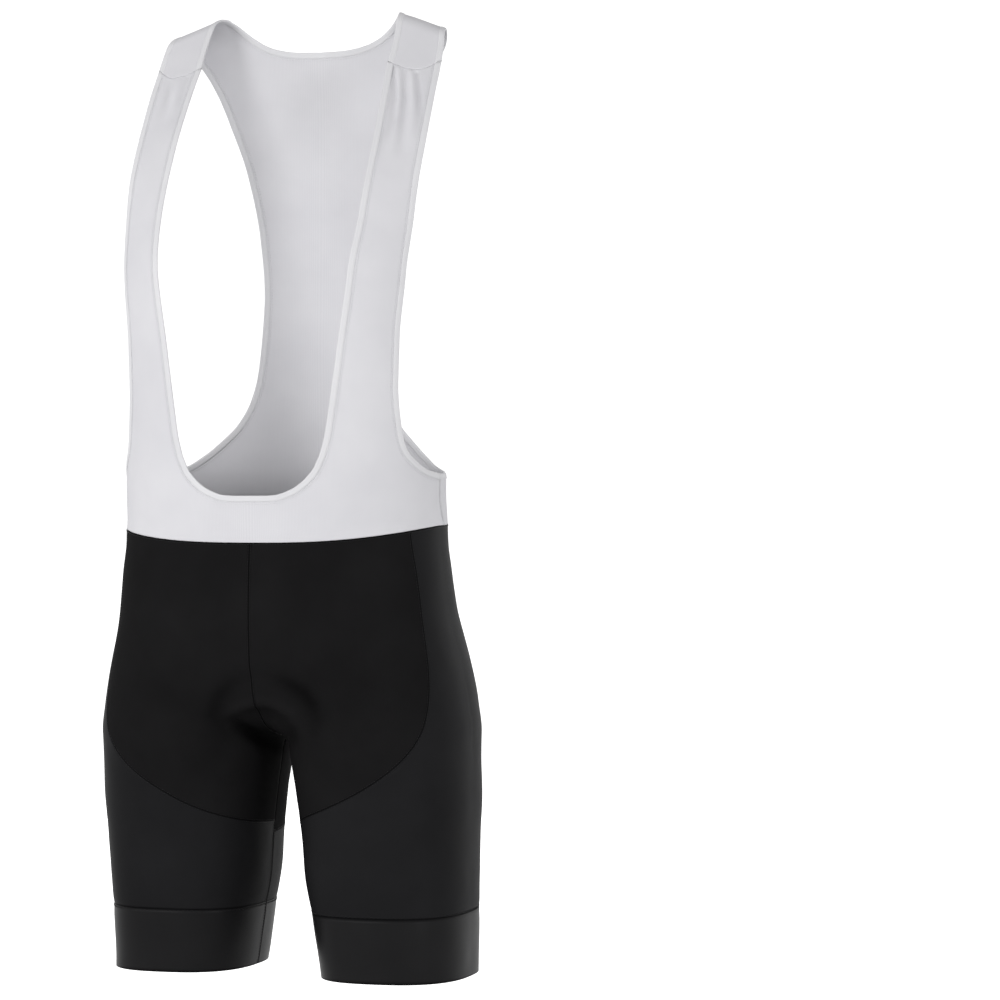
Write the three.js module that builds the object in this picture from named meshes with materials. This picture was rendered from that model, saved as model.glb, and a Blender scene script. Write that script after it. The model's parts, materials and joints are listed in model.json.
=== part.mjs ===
// Cycling bib shorts as they sit when worn, hollow, with no wearer.
// Millimetres. Z is up, the front faces -Y and +X is the wearer's left.
// The origin is midway between the two straps, at their underside on the shoulders,
// where the wearer holds the garment up.
// Every piece of cloth is a thin closed wall round its own middle surface. All the pieces follow one
// body form: bib and hips are one tube, and below the crotch it parts into two leg tubes.
import * as THREE from 'three';

const { clamp, lerp: mix, smoothstep: smooth, degToRad } = THREE.MathUtils;
const vec = (x, y, z) => new THREE.Vector3(x, y, z);

// Cloth
const WALL = { bib: 1.4, shorts: 1.6, band: 2.2, tape: 2.4 };
const SEAM_GAP = 0.34;
const WAIST_EASE = 0.3;
const TAPE_WIDTH = 5.2;

// Shoulders
const RIDGE_BACK = 59;
const RIDGE_RADIUS = 26;
const RIDGE_FRONT_TURN = degToRad(54);
const SHOULDER_SLOPE = 0.37;
const SLOPE_START = 95;
// Length up the back over which the shoulder's slope sets in
const BACK_DROOP = { from: -190, to: -40 };
const STRAP_SEAM_SAG = 7;

// Section shape: 2 is an ellipse and more is squarer
const BIB_SQUARENESS = 2.5;

// Stands for the side seam in the tables: as far out as the section goes
const SIDE = Infinity;

// Front of the bib's body form, downwards. y is the centre front, hollow is how much further back
// the side lies, and droop says how much of the shoulder's slope is left.
const FRONT_BODY = [
  { z: -10, wide: 163, y: 38.5, hollow: 0, droop: 1 },
  { z: -57, wide: 163, y: 4.4, hollow: 0, droop: 1 },
  { z: -70, wide: 163, y: -6, hollow: 3, droop: 1 },
  { z: -142, wide: 163, y: -58, hollow: 22, droop: 1 },
  { z: -210, wide: 163, y: -101, hollow: 72, droop: 0.5 },
  { z: -272, wide: 163, y: -125, hollow: 106, droop: 0 },
  { z: -340, wide: 162, y: -123, hollow: 107, droop: 0 },
  { z: -460, wide: 159.5, y: -121, hollow: 107, droop: 0 },
  { z: -535, wide: 159, y: -118, hollow: 104, droop: 0 },
];

// Back of the bib's body form. climb is the length up the centre back and over the shoulder,
// from the place where the shoulder starts to round.
const BACK_BODY = [
  { climb: -500, wide: 159, y: 93, hollow: 107 },
  { climb: -420, wide: 159, y: 90, hollow: 104 },
  { climb: -300, wide: 162, y: 87, hollow: 98 },
  { climb: -180, wide: 163, y: 89, hollow: 80 },
  { climb: -80, wide: 163, y: 89, hollow: 45 },
  { climb: 0, wide: 163, y: 85, hollow: 15 },
  { climb: 65, wide: 163, y: 85, hollow: 3 },
  { climb: 95, wide: 163, y: 85, hollow: 0 },
];

// Sections across the front of the bib, from the centre front along the waist seam, up the side seam
// and the armhole, to the strap seam: a point on the neckline and the one it faces on the outer edge.
const FRONT_SECTIONS = [
  { steps: 1, neckX: 0, neckZ: -491, edgeX: 0, edgeZ: -531.5 },
  { steps: 1, neckX: 14, neckZ: -491, edgeX: 36, edgeZ: -530.6 },
  { steps: 1, neckX: 27, neckZ: -490.3, edgeX: 74, edgeZ: -528 },
  { steps: 1, neckX: 42, neckZ: -485.6, edgeX: 112, edgeZ: -523.3 },
  { steps: 1, neckX: 54, neckZ: -478.5, edgeX: 141, edgeZ: -518.5 },
  { steps: 1, neckX: 62, neckZ: -471, edgeX: SIDE, edgeZ: -515 },
  { steps: 1, neckX: 68, neckZ: -463.5, edgeX: SIDE, edgeZ: -491 },
  { steps: 1, neckX: 72, neckZ: -455.5, edgeX: SIDE, edgeZ: -469 },
  { steps: 1, neckX: 75, neckZ: -448.5, edgeX: 156.5, edgeZ: -465.5 },
  { steps: 1, neckX: 77, neckZ: -441.5, edgeX: 149, edgeZ: -456 },
  { steps: 2, neckX: 80, neckZ: -430, edgeX: 140.5, edgeZ: -438 },
  { steps: 2, neckX: 87.7, neckZ: -378, edgeX: 135.5, edgeZ: -380 },
  { steps: 3, neckX: 94, neckZ: -332, edgeX: 137, edgeZ: -332 },
  { steps: 3, neckX: 102.4, neckZ: -272, edgeX: 142.5, edgeZ: -272 },
  { steps: 3, neckX: 107.4, neckZ: -210, edgeX: 146, edgeZ: -210 },
  { steps: 4, neckX: 108, neckZ: -142, edgeX: 147, edgeZ: -142 },
  { steps: 1, neckX: 105, neckZ: -70, edgeX: 146, edgeZ: -70 },
  { steps: 0, neckX: 104, neckZ: -57, edgeX: 145.5, edgeZ: -57 },
];

// Sections across the back of the bib, from the waist seam up and over the shoulder to the strap
// seam. Up to the neck they run from the centre back, and above it from the neckline.
const BACK_SECTIONS = [
  { steps: 1, neckX: 0, neckClimb: -468, edgeX: SIDE, edgeClimb: -489 },
  { steps: 1, neckX: 0, neckClimb: -455, edgeX: SIDE, edgeClimb: -465 },
  { steps: 1, neckX: 0, neckClimb: -442, edgeX: SIDE, edgeClimb: -443 },
  { steps: 1, neckX: 0, neckClimb: -434, edgeX: 150, edgeClimb: -441 },
  { steps: 1, neckX: 0, neckClimb: -427, edgeX: 134, edgeClimb: -435.5 },
  { steps: 1, neckX: 0, neckClimb: -415, edgeX: 117, edgeClimb: -423.5 },
  { steps: 1, neckX: 0, neckClimb: -398, edgeX: 101, edgeClimb: -409 },
  { steps: 1, neckX: 0, neckClimb: -378, edgeX: 84, edgeClimb: -391 },
  { steps: 1, neckX: 0, neckClimb: -355, edgeX: 69, edgeClimb: -364 },
  { steps: 2, neckX: 0, neckClimb: -325, edgeX: 60.5, edgeClimb: -330 },
  { steps: 2, neckX: 0, neckClimb: -255, edgeX: 54.8, edgeClimb: -256 },
  { steps: 2, neckX: 0, neckClimb: -185, edgeX: 60, edgeClimb: -194 },
  { steps: 2, neckX: 0, neckClimb: -110, edgeX: 75, edgeClimb: -124 },
  { steps: 1, neckX: 0, neckClimb: -40, edgeX: 94, edgeClimb: -73 },
  { steps: 1, neckX: 0, neckClimb: -12.5, edgeX: 104, edgeClimb: -45.7, parts: true },
  { steps: 1, neckX: 25, neckClimb: -11.5, edgeX: 113, edgeClimb: -25.3 },
  { steps: 1, neckX: 50, neckClimb: -7, edgeX: 120, edgeClimb: -12 },
  { steps: 1, neckX: 72, neckClimb: 4, edgeX: 127, edgeClimb: 0 },
  { steps: 2, neckX: 88, neckClimb: 19.9, edgeX: 133, edgeClimb: 14 },
  { steps: 2, neckX: 99.4, neckClimb: 40.8, edgeX: 138, edgeClimb: 36 },
  { steps: 2, neckX: 103, neckClimb: 65, edgeX: 142, edgeClimb: 56 },
  { steps: 2, neckX: 104.5, neckClimb: 95, edgeX: 144.5, edgeClimb: 78 },
  { steps: 0, neckX: 104, neckClimb: 122.6, edgeX: 145.5, edgeClimb: 97.4 },
];
const STRAP_CELLS = 6;
// The number of steps along the waist seam in front, and from there up the side seam
const WAIST_SECTIONS = 5;
const SIDE_SEAM_SECTIONS = 2;
const ARMHOLE_FLOOR = -470;

// Hips and seat: half width, the centre front and the centre back, and the squareness, downwards
const HIPS = [
  { z: -480, wide: 159, front: -118, back: 92, square: 2.5 },
  { z: -530, wide: 160, front: -118, back: 95, square: 2.55 },
  { z: -560, wide: 163, front: -120, back: 100, square: 2.6 },
  { z: -600, wide: 166.5, front: -121, back: 110, square: 2.7 },
  { z: -640, wide: 171, front: -119, back: 120, square: 2.8 },
  { z: -680, wide: 175, front: -115, back: 122, square: 2.8 },
  { z: -720, wide: 178, front: -112, back: 118, square: 2.8 },
];
const CROTCH = { roundFrom: -640, deep: 74, round: 2.2 };
const THIGH = { from: 15, to: 85, deep: 150 };

// Legs: centre, half width and half depth of each section, downwards
const LEG = [
  { z: -590, x: 84, y: 2, wide: 44, deep: 60 },
  { z: -650, x: 89, y: 2, wide: 70, deep: 88 },
  { z: -690, x: 93.5, y: 2, wide: 83, deep: 98 },
  { z: -720, x: 96.5, y: 2, wide: 88.5, deep: 101 },
  { z: -780, x: 103.5, y: 2, wide: 86, deep: 96 },
  { z: -820, x: 106, y: 2, wide: 82.5, deep: 94 },
  { z: -860, x: 108, y: 2, wide: 80.5, deep: 92 },
  { z: -900, x: 112, y: 2, wide: 76.5, deep: 89 },
  { z: -957, x: 116.5, y: 2, wide: 71.5, deep: 86 },
];
const LEG_SQUARENESS = 2.6;
// How much further back each leg stands, growing downwards
const LEG_STEP = { right: 20, left: -8, from: -700, to: -957 };
const BLEND = { legToLeg: 12, legToHips: 34 };

// Relief of the seat pad: half sizes, how far it rises, and from where to where its edge slopes off,
// as shares of the half sizes
const PAD_MOUND = { x: 6, z: -694, wide: 44, high: 36, rise: 6, flat: 0.3, end: 1 };
const PAD_LOBE = { x: 53, z: -690, wide: 46, high: 48, rise: 3.5, flat: 0.8, end: 1.1 };
const PAD_BEHIND = { from: 10, to: 50 };

// Rows down the shorts, where a half ring of cloth starts its way to the body form.
// inX is the centre line or the inside leg, front and back are its places there, and side is the
// outer thigh. leg is the share of the leg's own section in the first guess.
const SHORTS_ROWS = [
  { row: 0, inX: 0, frontY: -118, frontZ: -531.5, backY: 92, backZ: -494, sideX: 159, sideZ: -515, leg: 0 },
  { row: 1, inX: 0, frontY: -121, frontZ: -572, backY: 100, backZ: -548, sideX: 164, sideZ: -562, leg: 0 },
  { row: 2, inX: 0, frontY: -121, frontZ: -612, backY: 112, backZ: -598, sideX: 170, sideZ: -608, leg: 0 },
  { row: 3, inX: 0, frontY: -117, frontZ: -648, backY: 121, backZ: -642, sideX: 177, sideZ: -652, leg: 0.05 },
  { row: 4, inX: 0, frontY: -104, frontZ: -678, backY: 112, backZ: -680, sideX: 182, sideZ: -690, leg: 0.2 },
  { row: 5, inX: 0, frontY: -70, frontZ: -702, backY: 74, backZ: -704, sideX: 185, sideZ: -722, leg: 0.5 },
  { row: 6, inX: 0, frontY: 2, frontZ: -714, backY: 2, backZ: -714, sideX: 186, sideZ: -752, leg: 1 },
  { row: 7, inX: 14, frontY: 2, frontZ: -752, backY: 2, backZ: -752, sideX: 186, sideZ: -782, leg: 1 },
  { row: 8, inX: 20, frontY: 2, frontZ: -795, backY: 2, backZ: -795, sideX: 186, sideZ: -815, leg: 1 },
  { row: 9, inX: 28, frontY: 2, frontZ: -845, backY: 2, backZ: -845, sideX: 186, sideZ: -852, leg: 1 },
  { row: 10, inX: 35, frontY: 2, frontZ: -894, backY: 2, backZ: -894, sideX: 186, sideZ: -894, leg: 1 },
  { row: 11, inX: 44, frontY: 2, frontZ: -957, backY: 2, backZ: -957, sideX: 185, sideZ: -957, leg: 1 },
];
const ROW = { waist: 0, crotch: 6, bandTop: 10, hem: 11 };
// How the rows turn from the centre to the side: smaller powers stay near the centre's value for longer
const ROW_TURN = { out: 0.75, level: 1.6 };

// Where the seams run on each half: around is 0 at the centre front, 0.5 at the side and 1 at the
// centre back.
const FRONT_SEAM = [
  { row: 0, around: 0.34 },
  { row: 1, around: 0.357 },
  { row: 2.4, around: 0.36 },
  { row: 3.6, around: 0.342 },
  { row: 4.7, around: 0.326 },
  { row: 5.5, around: 0.338 },
  { row: 6, around: 0.352 },
];
const BACK_SEAM = [
  { row: 0, around: 0.65 },
  { row: 1.8, around: 0.68 },
  { row: 3.7, around: 0.715 },
  { row: 5, around: 0.68 },
  { row: 6, around: 0.653 },
];
// Below this row both seams turn in towards the inside leg, more sharply with a larger power
const SEAM_CORNER_ROW = 6;
const SEAM_TURN = { front: 2.7, back: 4 };
// Row where the back yoke ends
const YOKE_END = { side: 1.8, centre: 1.4 };
// Rows between which a point near the centre line may move up and down to reach the body form
const FREE_ROWS = { from: 2.5, full: 4, until: 6, to: 7.5 };
const FREE_FACING = { from: 0.3, full: 0.95 };

// Cells of each half of the shorts, round and down
const CELLS = { front: 9, side: 7, back: 9, yoke: 4, toCrotch: 9, belowCrotch: 5, lower: 7, band: 2 };
const UPPER_CELLS = CELLS.yoke + CELLS.toCrotch + CELLS.belowCrotch;

// Rounds of smoothing, and turns of the search for the body form
const SETTLE_ROUNDS = 30;
const SEAM_ROUNDS = 12;
const FIRST_TURNS = 14;
const LATER_TURNS = 2;
const SLOPE_STEP = 0.5;
const LEAST_SLOPE = 0.05;

const GREY = { bib: 0xdcdce2, tape: 0xe8e8ec, matt: 0x1d1d1f, gloss: 0x232428, band: 0x26272b };

// Reads a table smoothly: the value of one column where the key column has the given value.
function reader(rows, key) {
  const sorted = [...rows].sort((a, b) => a[key] - b[key]);
  const at = sorted.map((row) => row[key]);
  const last = at.length - 1;
  const known = {};
  const slopesOf = (column) => {
    if (!known[column]) {
      const rise = at.slice(1).map((x, i) => (sorted[i + 1][column] - sorted[i][column]) / (x - at[i]));
      known[column] = at.map((x, i) => {
        if (i === 0) return rise[0];
        if (i === last) return rise[last - 1];
        return rise[i - 1] * rise[i] <= 0 ? 0 : (2 * rise[i - 1] * rise[i]) / (rise[i - 1] + rise[i]);
      });
    }
    return known[column];
  };
  return (column, x) => {
    const here = clamp(x, at[0], at[last]);
    let i = 0;
    while (i < last - 1 && here > at[i + 1]) i += 1;
    const span = at[i + 1] - at[i];
    const t = (here - at[i]) / span;
    const slopes = slopesOf(column);
    const bend = t * t * (3 - 2 * t);
    const lead = t * (1 - t) * (1 - t) * span * slopes[i];
    const tail = t * t * (1 - t) * span * slopes[i + 1];
    return mix(sorted[i][column], sorted[i + 1][column], bend) + lead - tail;
  };
}

const frontBody = reader(FRONT_BODY, 'z');
const backBody = reader(BACK_BODY, 'climb');
const hips = reader(HIPS, 'z');
const leg = reader(LEG, 'z');
const shortsRows = reader(SHORTS_ROWS, 'row');
const frontSeam = reader(FRONT_SEAM, 'row');
const backSeam = reader(BACK_SEAM, 'row');

// How far round a bib section a given half width lies, as an angle from the centre.
const angleAt = (x, wide) => Math.asin(clamp(x / wide, 0, 1) ** (BIB_SQUARENESS / 2));
const bow = (share) => Math.max(share, 0) ** (2 / BIB_SQUARENESS);
const slopeDrop = (x) => SHOULDER_SLOPE * Math.max(0, x - SLOPE_START);

function frontPoint(angle, z) {
  const x = frontBody('wide', z) * bow(Math.sin(angle));
  const level = z + frontBody('droop', z) * slopeDrop(x);
  const y = frontBody('y', level) + frontBody('hollow', level) * (1 - bow(Math.cos(angle)));
  return vec(x, y, z);
}

function backPoint(angle, climb) {
  const x = backBody('wide', climb) * bow(Math.sin(angle));
  const spread = backBody('hollow', climb) * (1 - bow(Math.cos(angle)));
  const turn = clamp(climb / RIDGE_RADIUS, 0, Math.PI / 2 + RIDGE_FRONT_TURN);
  const past = climb - RIDGE_RADIUS * turn;
  let y = RIDGE_BACK + RIDGE_RADIUS * Math.cos(turn);
  let z = -RIDGE_RADIUS + RIDGE_RADIUS * Math.sin(turn);
  if (climb < 0) {
    y = backBody('y', climb);
    z += past;
  } else {
    y -= past * Math.cos(RIDGE_FRONT_TURN);
    z -= past * Math.sin(RIDGE_FRONT_TURN);
  }
  const droop = smooth(climb, BACK_DROOP.from, BACK_DROOP.to);
  return vec(x, y - spread, z - droop * slopeDrop(x));
}

// Fills in the sections of a table, a number of steps after each row. The half widths at the
// neckline and at the outer edge become angles.
function sections(rows, wideAt) {
  const numbered = rows.map((row, index) => ({
    ...row,
    index,
    neck: angleAt(row.neckX, wideAt(row)),
    edge: angleAt(row.edgeX, wideAt(row)),
  }));
  const read = reader(numbered, 'index');
  const columns = Object.keys(numbered[0]).filter((name) => !['steps', 'neckX', 'edgeX'].includes(name));
  return numbered.flatMap((row) =>
    Array.from({ length: Math.max(row.steps, 1) }, (_, step) => {
      const at = row.index + step / Math.max(row.steps, 1);
      const made = { parts: step === 0 && row.parts };
      columns.forEach((name) => {
        made[name] = read(name, at);
      });
      return made;
    }),
  );
}

// A sheet is points and four-cornered cells, listed so that they face outwards.
class Sheet {
  constructor() {
    this.points = [];
    this.cells = [];
  }

  addGrid(grid, flip) {
    const ids = grid.map((line) => line.map((p) => this.idOf(p)));
    for (let i = 0; i + 1 < ids.length; i += 1) {
      for (let j = 0; j + 1 < ids[i].length; j += 1) {
        const cell = [ids[i][j], ids[i][j + 1], ids[i + 1][j + 1], ids[i + 1][j]];
        this.cells.push(flip ? cell.reverse() : cell);
      }
    }
    return this;
  }

  idOf(point) {
    if (!this.points.includes(point)) this.points.push(point);
    return this.points.indexOf(point);
  }

  // Evens out the cells between the cut edges, with every point kept on the body form
  settle(rounds) {
    const fixed = new Set(this.rim().flat());
    const beside = this.points.map(() => new Set());
    this.cells.forEach((cell) => {
      cell.forEach((id, k) => beside[id].add(cell[(k + 1) % 4]).add(cell[(k + 3) % 4]));
    });
    for (let round = 0; round < rounds; round += 1) {
      const means = beside.map((ids) => {
        const sum = vec(0, 0, 0);
        ids.forEach((id) => sum.add(this.points[id]));
        return sum.divideScalar(ids.size);
      });
      this.points.forEach((p, id) => {
        if (!fixed.has(id)) toBodyForm(p.copy(means[id]), vec(1, 1, 1), LATER_TURNS);
      });
    }
    return this;
  }

  // Outward directions at the points
  normals() {
    const sums = this.points.map(() => vec(0, 0, 0));
    this.cells.forEach((cell) => {
      const [a, b, c, d] = cell.map((id) => this.points[id]);
      const across = c.clone().sub(a).cross(d.clone().sub(b));
      cell.forEach((id) => sums[id].add(across));
    });
    // On the centre line the cloth faces neither side, so halves that meet there stay apart
    this.points.forEach((p, id) => {
      if (p.x === 0) sums[id].x = 0;
    });
    return sums.map((sum) => sum.normalize());
  }

  // Edges that only one cell has, each in that cell's direction
  rim() {
    const edges = new Map();
    this.cells.forEach((cell) => {
      cell.forEach((from, k) => {
        const to = cell[(k + 1) % 4];
        if (!edges.delete(`${to} ${from}`)) edges.set(`${from} ${to}`, [from, to]);
      });
    });
    return [...edges.values()];
  }

  // Directions in the cloth, at the points of the rim, that lead away from its cut edge
  inwards(normals) {
    const sides = new Map();
    this.rim().forEach(([from, to]) => {
      const run = this.points[to].clone().sub(this.points[from]).normalize();
      [from, to].forEach((id) => {
        sides.set(id, [...(sides.get(id) || []), normals[id].clone().cross(run).normalize()]);
      });
    });
    const result = new Map();
    sides.forEach(([first, second], id) => {
      const middle = first.clone().add(second).normalize();
      result.set(id, middle.divideScalar(Math.max(middle.dot(first), 0.5)));
    });
    return result;
  }
}

// A closed wall round a sheet, drawn in by half a seam gap at its cut edges.
function wallGeometry(sheet, thickness) {
  const normals = sheet.normals();
  const inwards = sheet.inwards(normals);
  const middle = sheet.points.map((p, id) => {
    const inward = inwards.get(id);
    return inward ? p.clone().addScaledVector(inward, SEAM_GAP / 2) : p;
  });
  const count = middle.length;
  const outer = middle.map((p, id) => p.clone().addScaledVector(normals[id], thickness / 2));
  const inner = middle.map((p, id) => p.clone().addScaledVector(normals[id], -thickness / 2));
  const faces = [];
  const span = (i, j) => middle[i].distanceTo(middle[j]);
  sheet.cells.forEach((cell) => {
    // Each cell is cut along its shorter diagonal
    const [a, b, c, d] = span(cell[0], cell[2]) < span(cell[1], cell[3]) ? cell : [...cell.slice(1), cell[0]];
    faces.push(a, b, c, a, c, d);
    faces.push(count + a, count + c, count + b, count + a, count + d, count + c);
  });
  sheet.rim().forEach(([a, b]) => {
    faces.push(b, a, count + a, b, count + a, count + b);
  });
  const geometry = new THREE.BufferGeometry().setFromPoints([...outer, ...inner]);
  geometry.setIndex(faces);
  geometry.computeVertexNormals();
  return geometry;
}

const mirrored = (grid) => grid.map((line) => line.map((p) => (p.x === 0 ? p : vec(-p.x, p.y, p.z))));
const column = (grid, j) => grid.map((line) => line[j]);
const evenly = (cells, make) => Array.from({ length: cells + 1 }, (_, i) => make(i / cells));

// Sections of the left half, each from the neckline to the outer edge. Those on the waist seam end on
// the shorts' top edge.
function bibFrontGrid() {
  const rows = sections(FRONT_SECTIONS, (row) => frontBody('wide', row.edgeZ));
  return rows.map((row, index) => {
    const sag = index === rows.length - 1 ? STRAP_SEAM_SAG : 0;
    const line = evenly(STRAP_CELLS, (t) =>
      frontPoint(mix(row.neck, row.edge, t), mix(row.neckZ, row.edgeZ, t) - sag * Math.sin(Math.PI * t)),
    );
    if (index <= WAIST_SECTIONS) line[STRAP_CELLS] = waistPoint(waistAround(FRONT_SECTIONS[index].edgeX));
    return line;
  });
}

// How far round the waist seam's front a half width lies
function waistAround(x) {
  const share = clamp(x / shortsRows('sideX', ROW.waist), 0, 1);
  return Math.asin(share ** (1 / ROW_TURN.out)) / Math.PI;
}

// A point of the bib's lower edge, just above the shorts' top edge
const waistPoint = (around) => shortsPoint(1, around, ROW.waist).add(vec(0, 0, WAIST_EASE));

// The back's sections share their points with the front's along the side seam and the strap seam.
function bibBackGrid(front) {
  const rows = sections(BACK_SECTIONS, (row) => backBody('wide', row.edgeClimb));
  const split = rows.findIndex((row) => row.parts);
  const last = rows.length - 1;
  const grid = rows.map((row, index) => {
    if (index === 0) return evenly(STRAP_CELLS, (t) => waistPoint(mix(1, 0.5, t)));
    if (index === last) return front[front.length - 1].map((p) => p.clone());
    const climb = (t) => mix(row.neckClimb, row.edgeClimb, t);
    return evenly(STRAP_CELLS, (t) => backPoint(mix(row.neck, row.edge, t), climb(t)));
  });
  for (let k = 0; k <= SIDE_SEAM_SECTIONS; k += 1) {
    grid[k][STRAP_CELLS] = front[WAIST_SECTIONS + k][STRAP_CELLS].clone();
  }
  return { grid, split };
}

// The hips' and legs' form: below zero inside, zero on the cloth and above zero outside, in millimetres.
function soften(a, b, reach) {
  const share = clamp(0.5 + (0.5 * (b - a)) / reach, 0, 1);
  return mix(b, a, share) - reach * share * (1 - share);
}

function hipsField(p) {
  const wide = hips('wide', p.z);
  const front = hips('front', p.z);
  const back = hips('back', p.z);
  const square = hips('square', p.z);
  const middle = (front + back) / 2 - 2;
  const deep = p.y < middle ? middle - front : back - middle;
  const ring = ((Math.abs(p.x) / wide) ** square + (Math.abs(p.y - middle) / deep) ** square) ** (1 / square);
  const bottom = mix(CROTCH.deep, THIGH.deep, smooth(Math.abs(p.x), THIGH.from, THIGH.to));
  const below = Math.max(0, CROTCH.roundFrom - p.z) / bottom;
  return ((ring ** CROTCH.round + below ** CROTCH.round) ** (1 / CROTCH.round) - 1) * Math.min(wide, deep);
}

const legStep = (side, z) =>
  (side > 0 ? LEG_STEP.left : LEG_STEP.right) * smooth(-z, -LEG_STEP.from, -LEG_STEP.to);

function legField(p, side) {
  const wide = leg('wide', p.z);
  const deep = leg('deep', p.z);
  const x = Math.abs(side * p.x - leg('x', p.z)) / wide;
  const y = Math.abs(p.y - leg('y', p.z) - legStep(side, p.z)) / deep;
  return ((x ** LEG_SQUARENESS + y ** LEG_SQUARENESS) ** (1 / LEG_SQUARENESS) - 1) * Math.min(wide, deep);
}

// How far the seat pad inside lifts the cloth: one mound in front and two flat lobes behind
function padRelief(p) {
  const mound = Math.hypot((p.x - PAD_MOUND.x) / PAD_MOUND.wide, (p.z - PAD_MOUND.z) / PAD_MOUND.high);
  const lobe = Math.hypot((Math.abs(p.x) - PAD_LOBE.x) / PAD_LOBE.wide, (p.z - PAD_LOBE.z) / PAD_LOBE.high);
  if (p.y < 0) return PAD_MOUND.rise * (1 - smooth(mound, PAD_MOUND.flat, PAD_MOUND.end));
  const behind = smooth(p.y, PAD_BEHIND.from, PAD_BEHIND.to);
  return PAD_LOBE.rise * (1 - smooth(lobe, PAD_LOBE.flat, PAD_LOBE.end)) * behind;
}

function bodyField(p) {
  const legs = soften(legField(p, 1), legField(p, -1), BLEND.legToLeg);
  return soften(hipsField(p), legs, BLEND.legToHips) - padRelief(p);
}

function fieldSlope(p) {
  const along = (axis) => {
    const more = p.clone().addScaledVector(axis, SLOPE_STEP);
    const less = p.clone().addScaledVector(axis, -SLOPE_STEP);
    return (bodyField(more) - bodyField(less)) / (2 * SLOPE_STEP);
  };
  return vec(along(vec(1, 0, 0)), along(vec(0, 1, 0)), along(vec(0, 0, 1)));
}

// Moves a point onto the body form, along its slope, with a share of freedom in each direction.
function toBodyForm(p, freedom, turns) {
  for (let turn = 0; turn < turns; turn += 1) {
    const slope = fieldSlope(p).multiply(freedom);
    p.addScaledVector(slope, -bodyField(p) / Math.max(slope.lengthSq(), LEAST_SLOPE));
  }
  return p;
}

// A point of the shorts: moves a first guess on its row onto the body form.
function shortsPoint(side, around, row) {
  const angle = Math.PI * around;
  const read = (name) => shortsRows(name, row);
  const inFront = around <= 0.5;
  const inY = inFront ? read('frontY') : read('backY');
  const innerZ = inFront ? read('frontZ') : read('backZ');
  const facing = Math.abs(Math.cos(angle)) ** ROW_TURN.out;
  const z = mix(read('sideZ'), innerZ, Math.abs(Math.cos(angle)) ** ROW_TURN.level);
  const middle = leg('y', z) + legStep(side, z);
  const hipX = mix(read('inX'), read('sideX'), Math.sin(angle) ** ROW_TURN.out);
  const legX = leg('x', z) - leg('wide', z) * Math.cos(2 * angle);
  const legY = middle - leg('deep', z) * Math.sin(2 * angle);
  const share = read('leg');
  const onCentre = row < ROW.crotch + 0.001 && (around === 0 || around === 1);
  const p = vec(
    onCentre ? 0 : side * mix(hipX, legX, share),
    mix(middle + (inY - middle) * facing, legY, share),
    z,
  );
  const below = smooth(row, FREE_ROWS.from, FREE_ROWS.full);
  const above = 1 - smooth(row, FREE_ROWS.until, FREE_ROWS.to);
  const upright = below * above * smooth(facing, FREE_FACING.from, FREE_FACING.full);
  return toBodyForm(p, vec(onCentre ? 0 : 1, 1, upright), FIRST_TURNS);
}

// Takes the small bends out of a seam, with its points kept on the body form
function smoothLine(line) {
  for (let round = 0; round < SEAM_ROUNDS; round += 1) {
    const means = line.slice(1, -1).map((p, i) => line[i].clone().add(line[i + 2]).add(p).divideScalar(3));
    means.forEach((mean, i) => toBodyForm(line[i + 1].copy(mean), vec(1, 1, 1), LATER_TURNS));
  }
}

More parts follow.
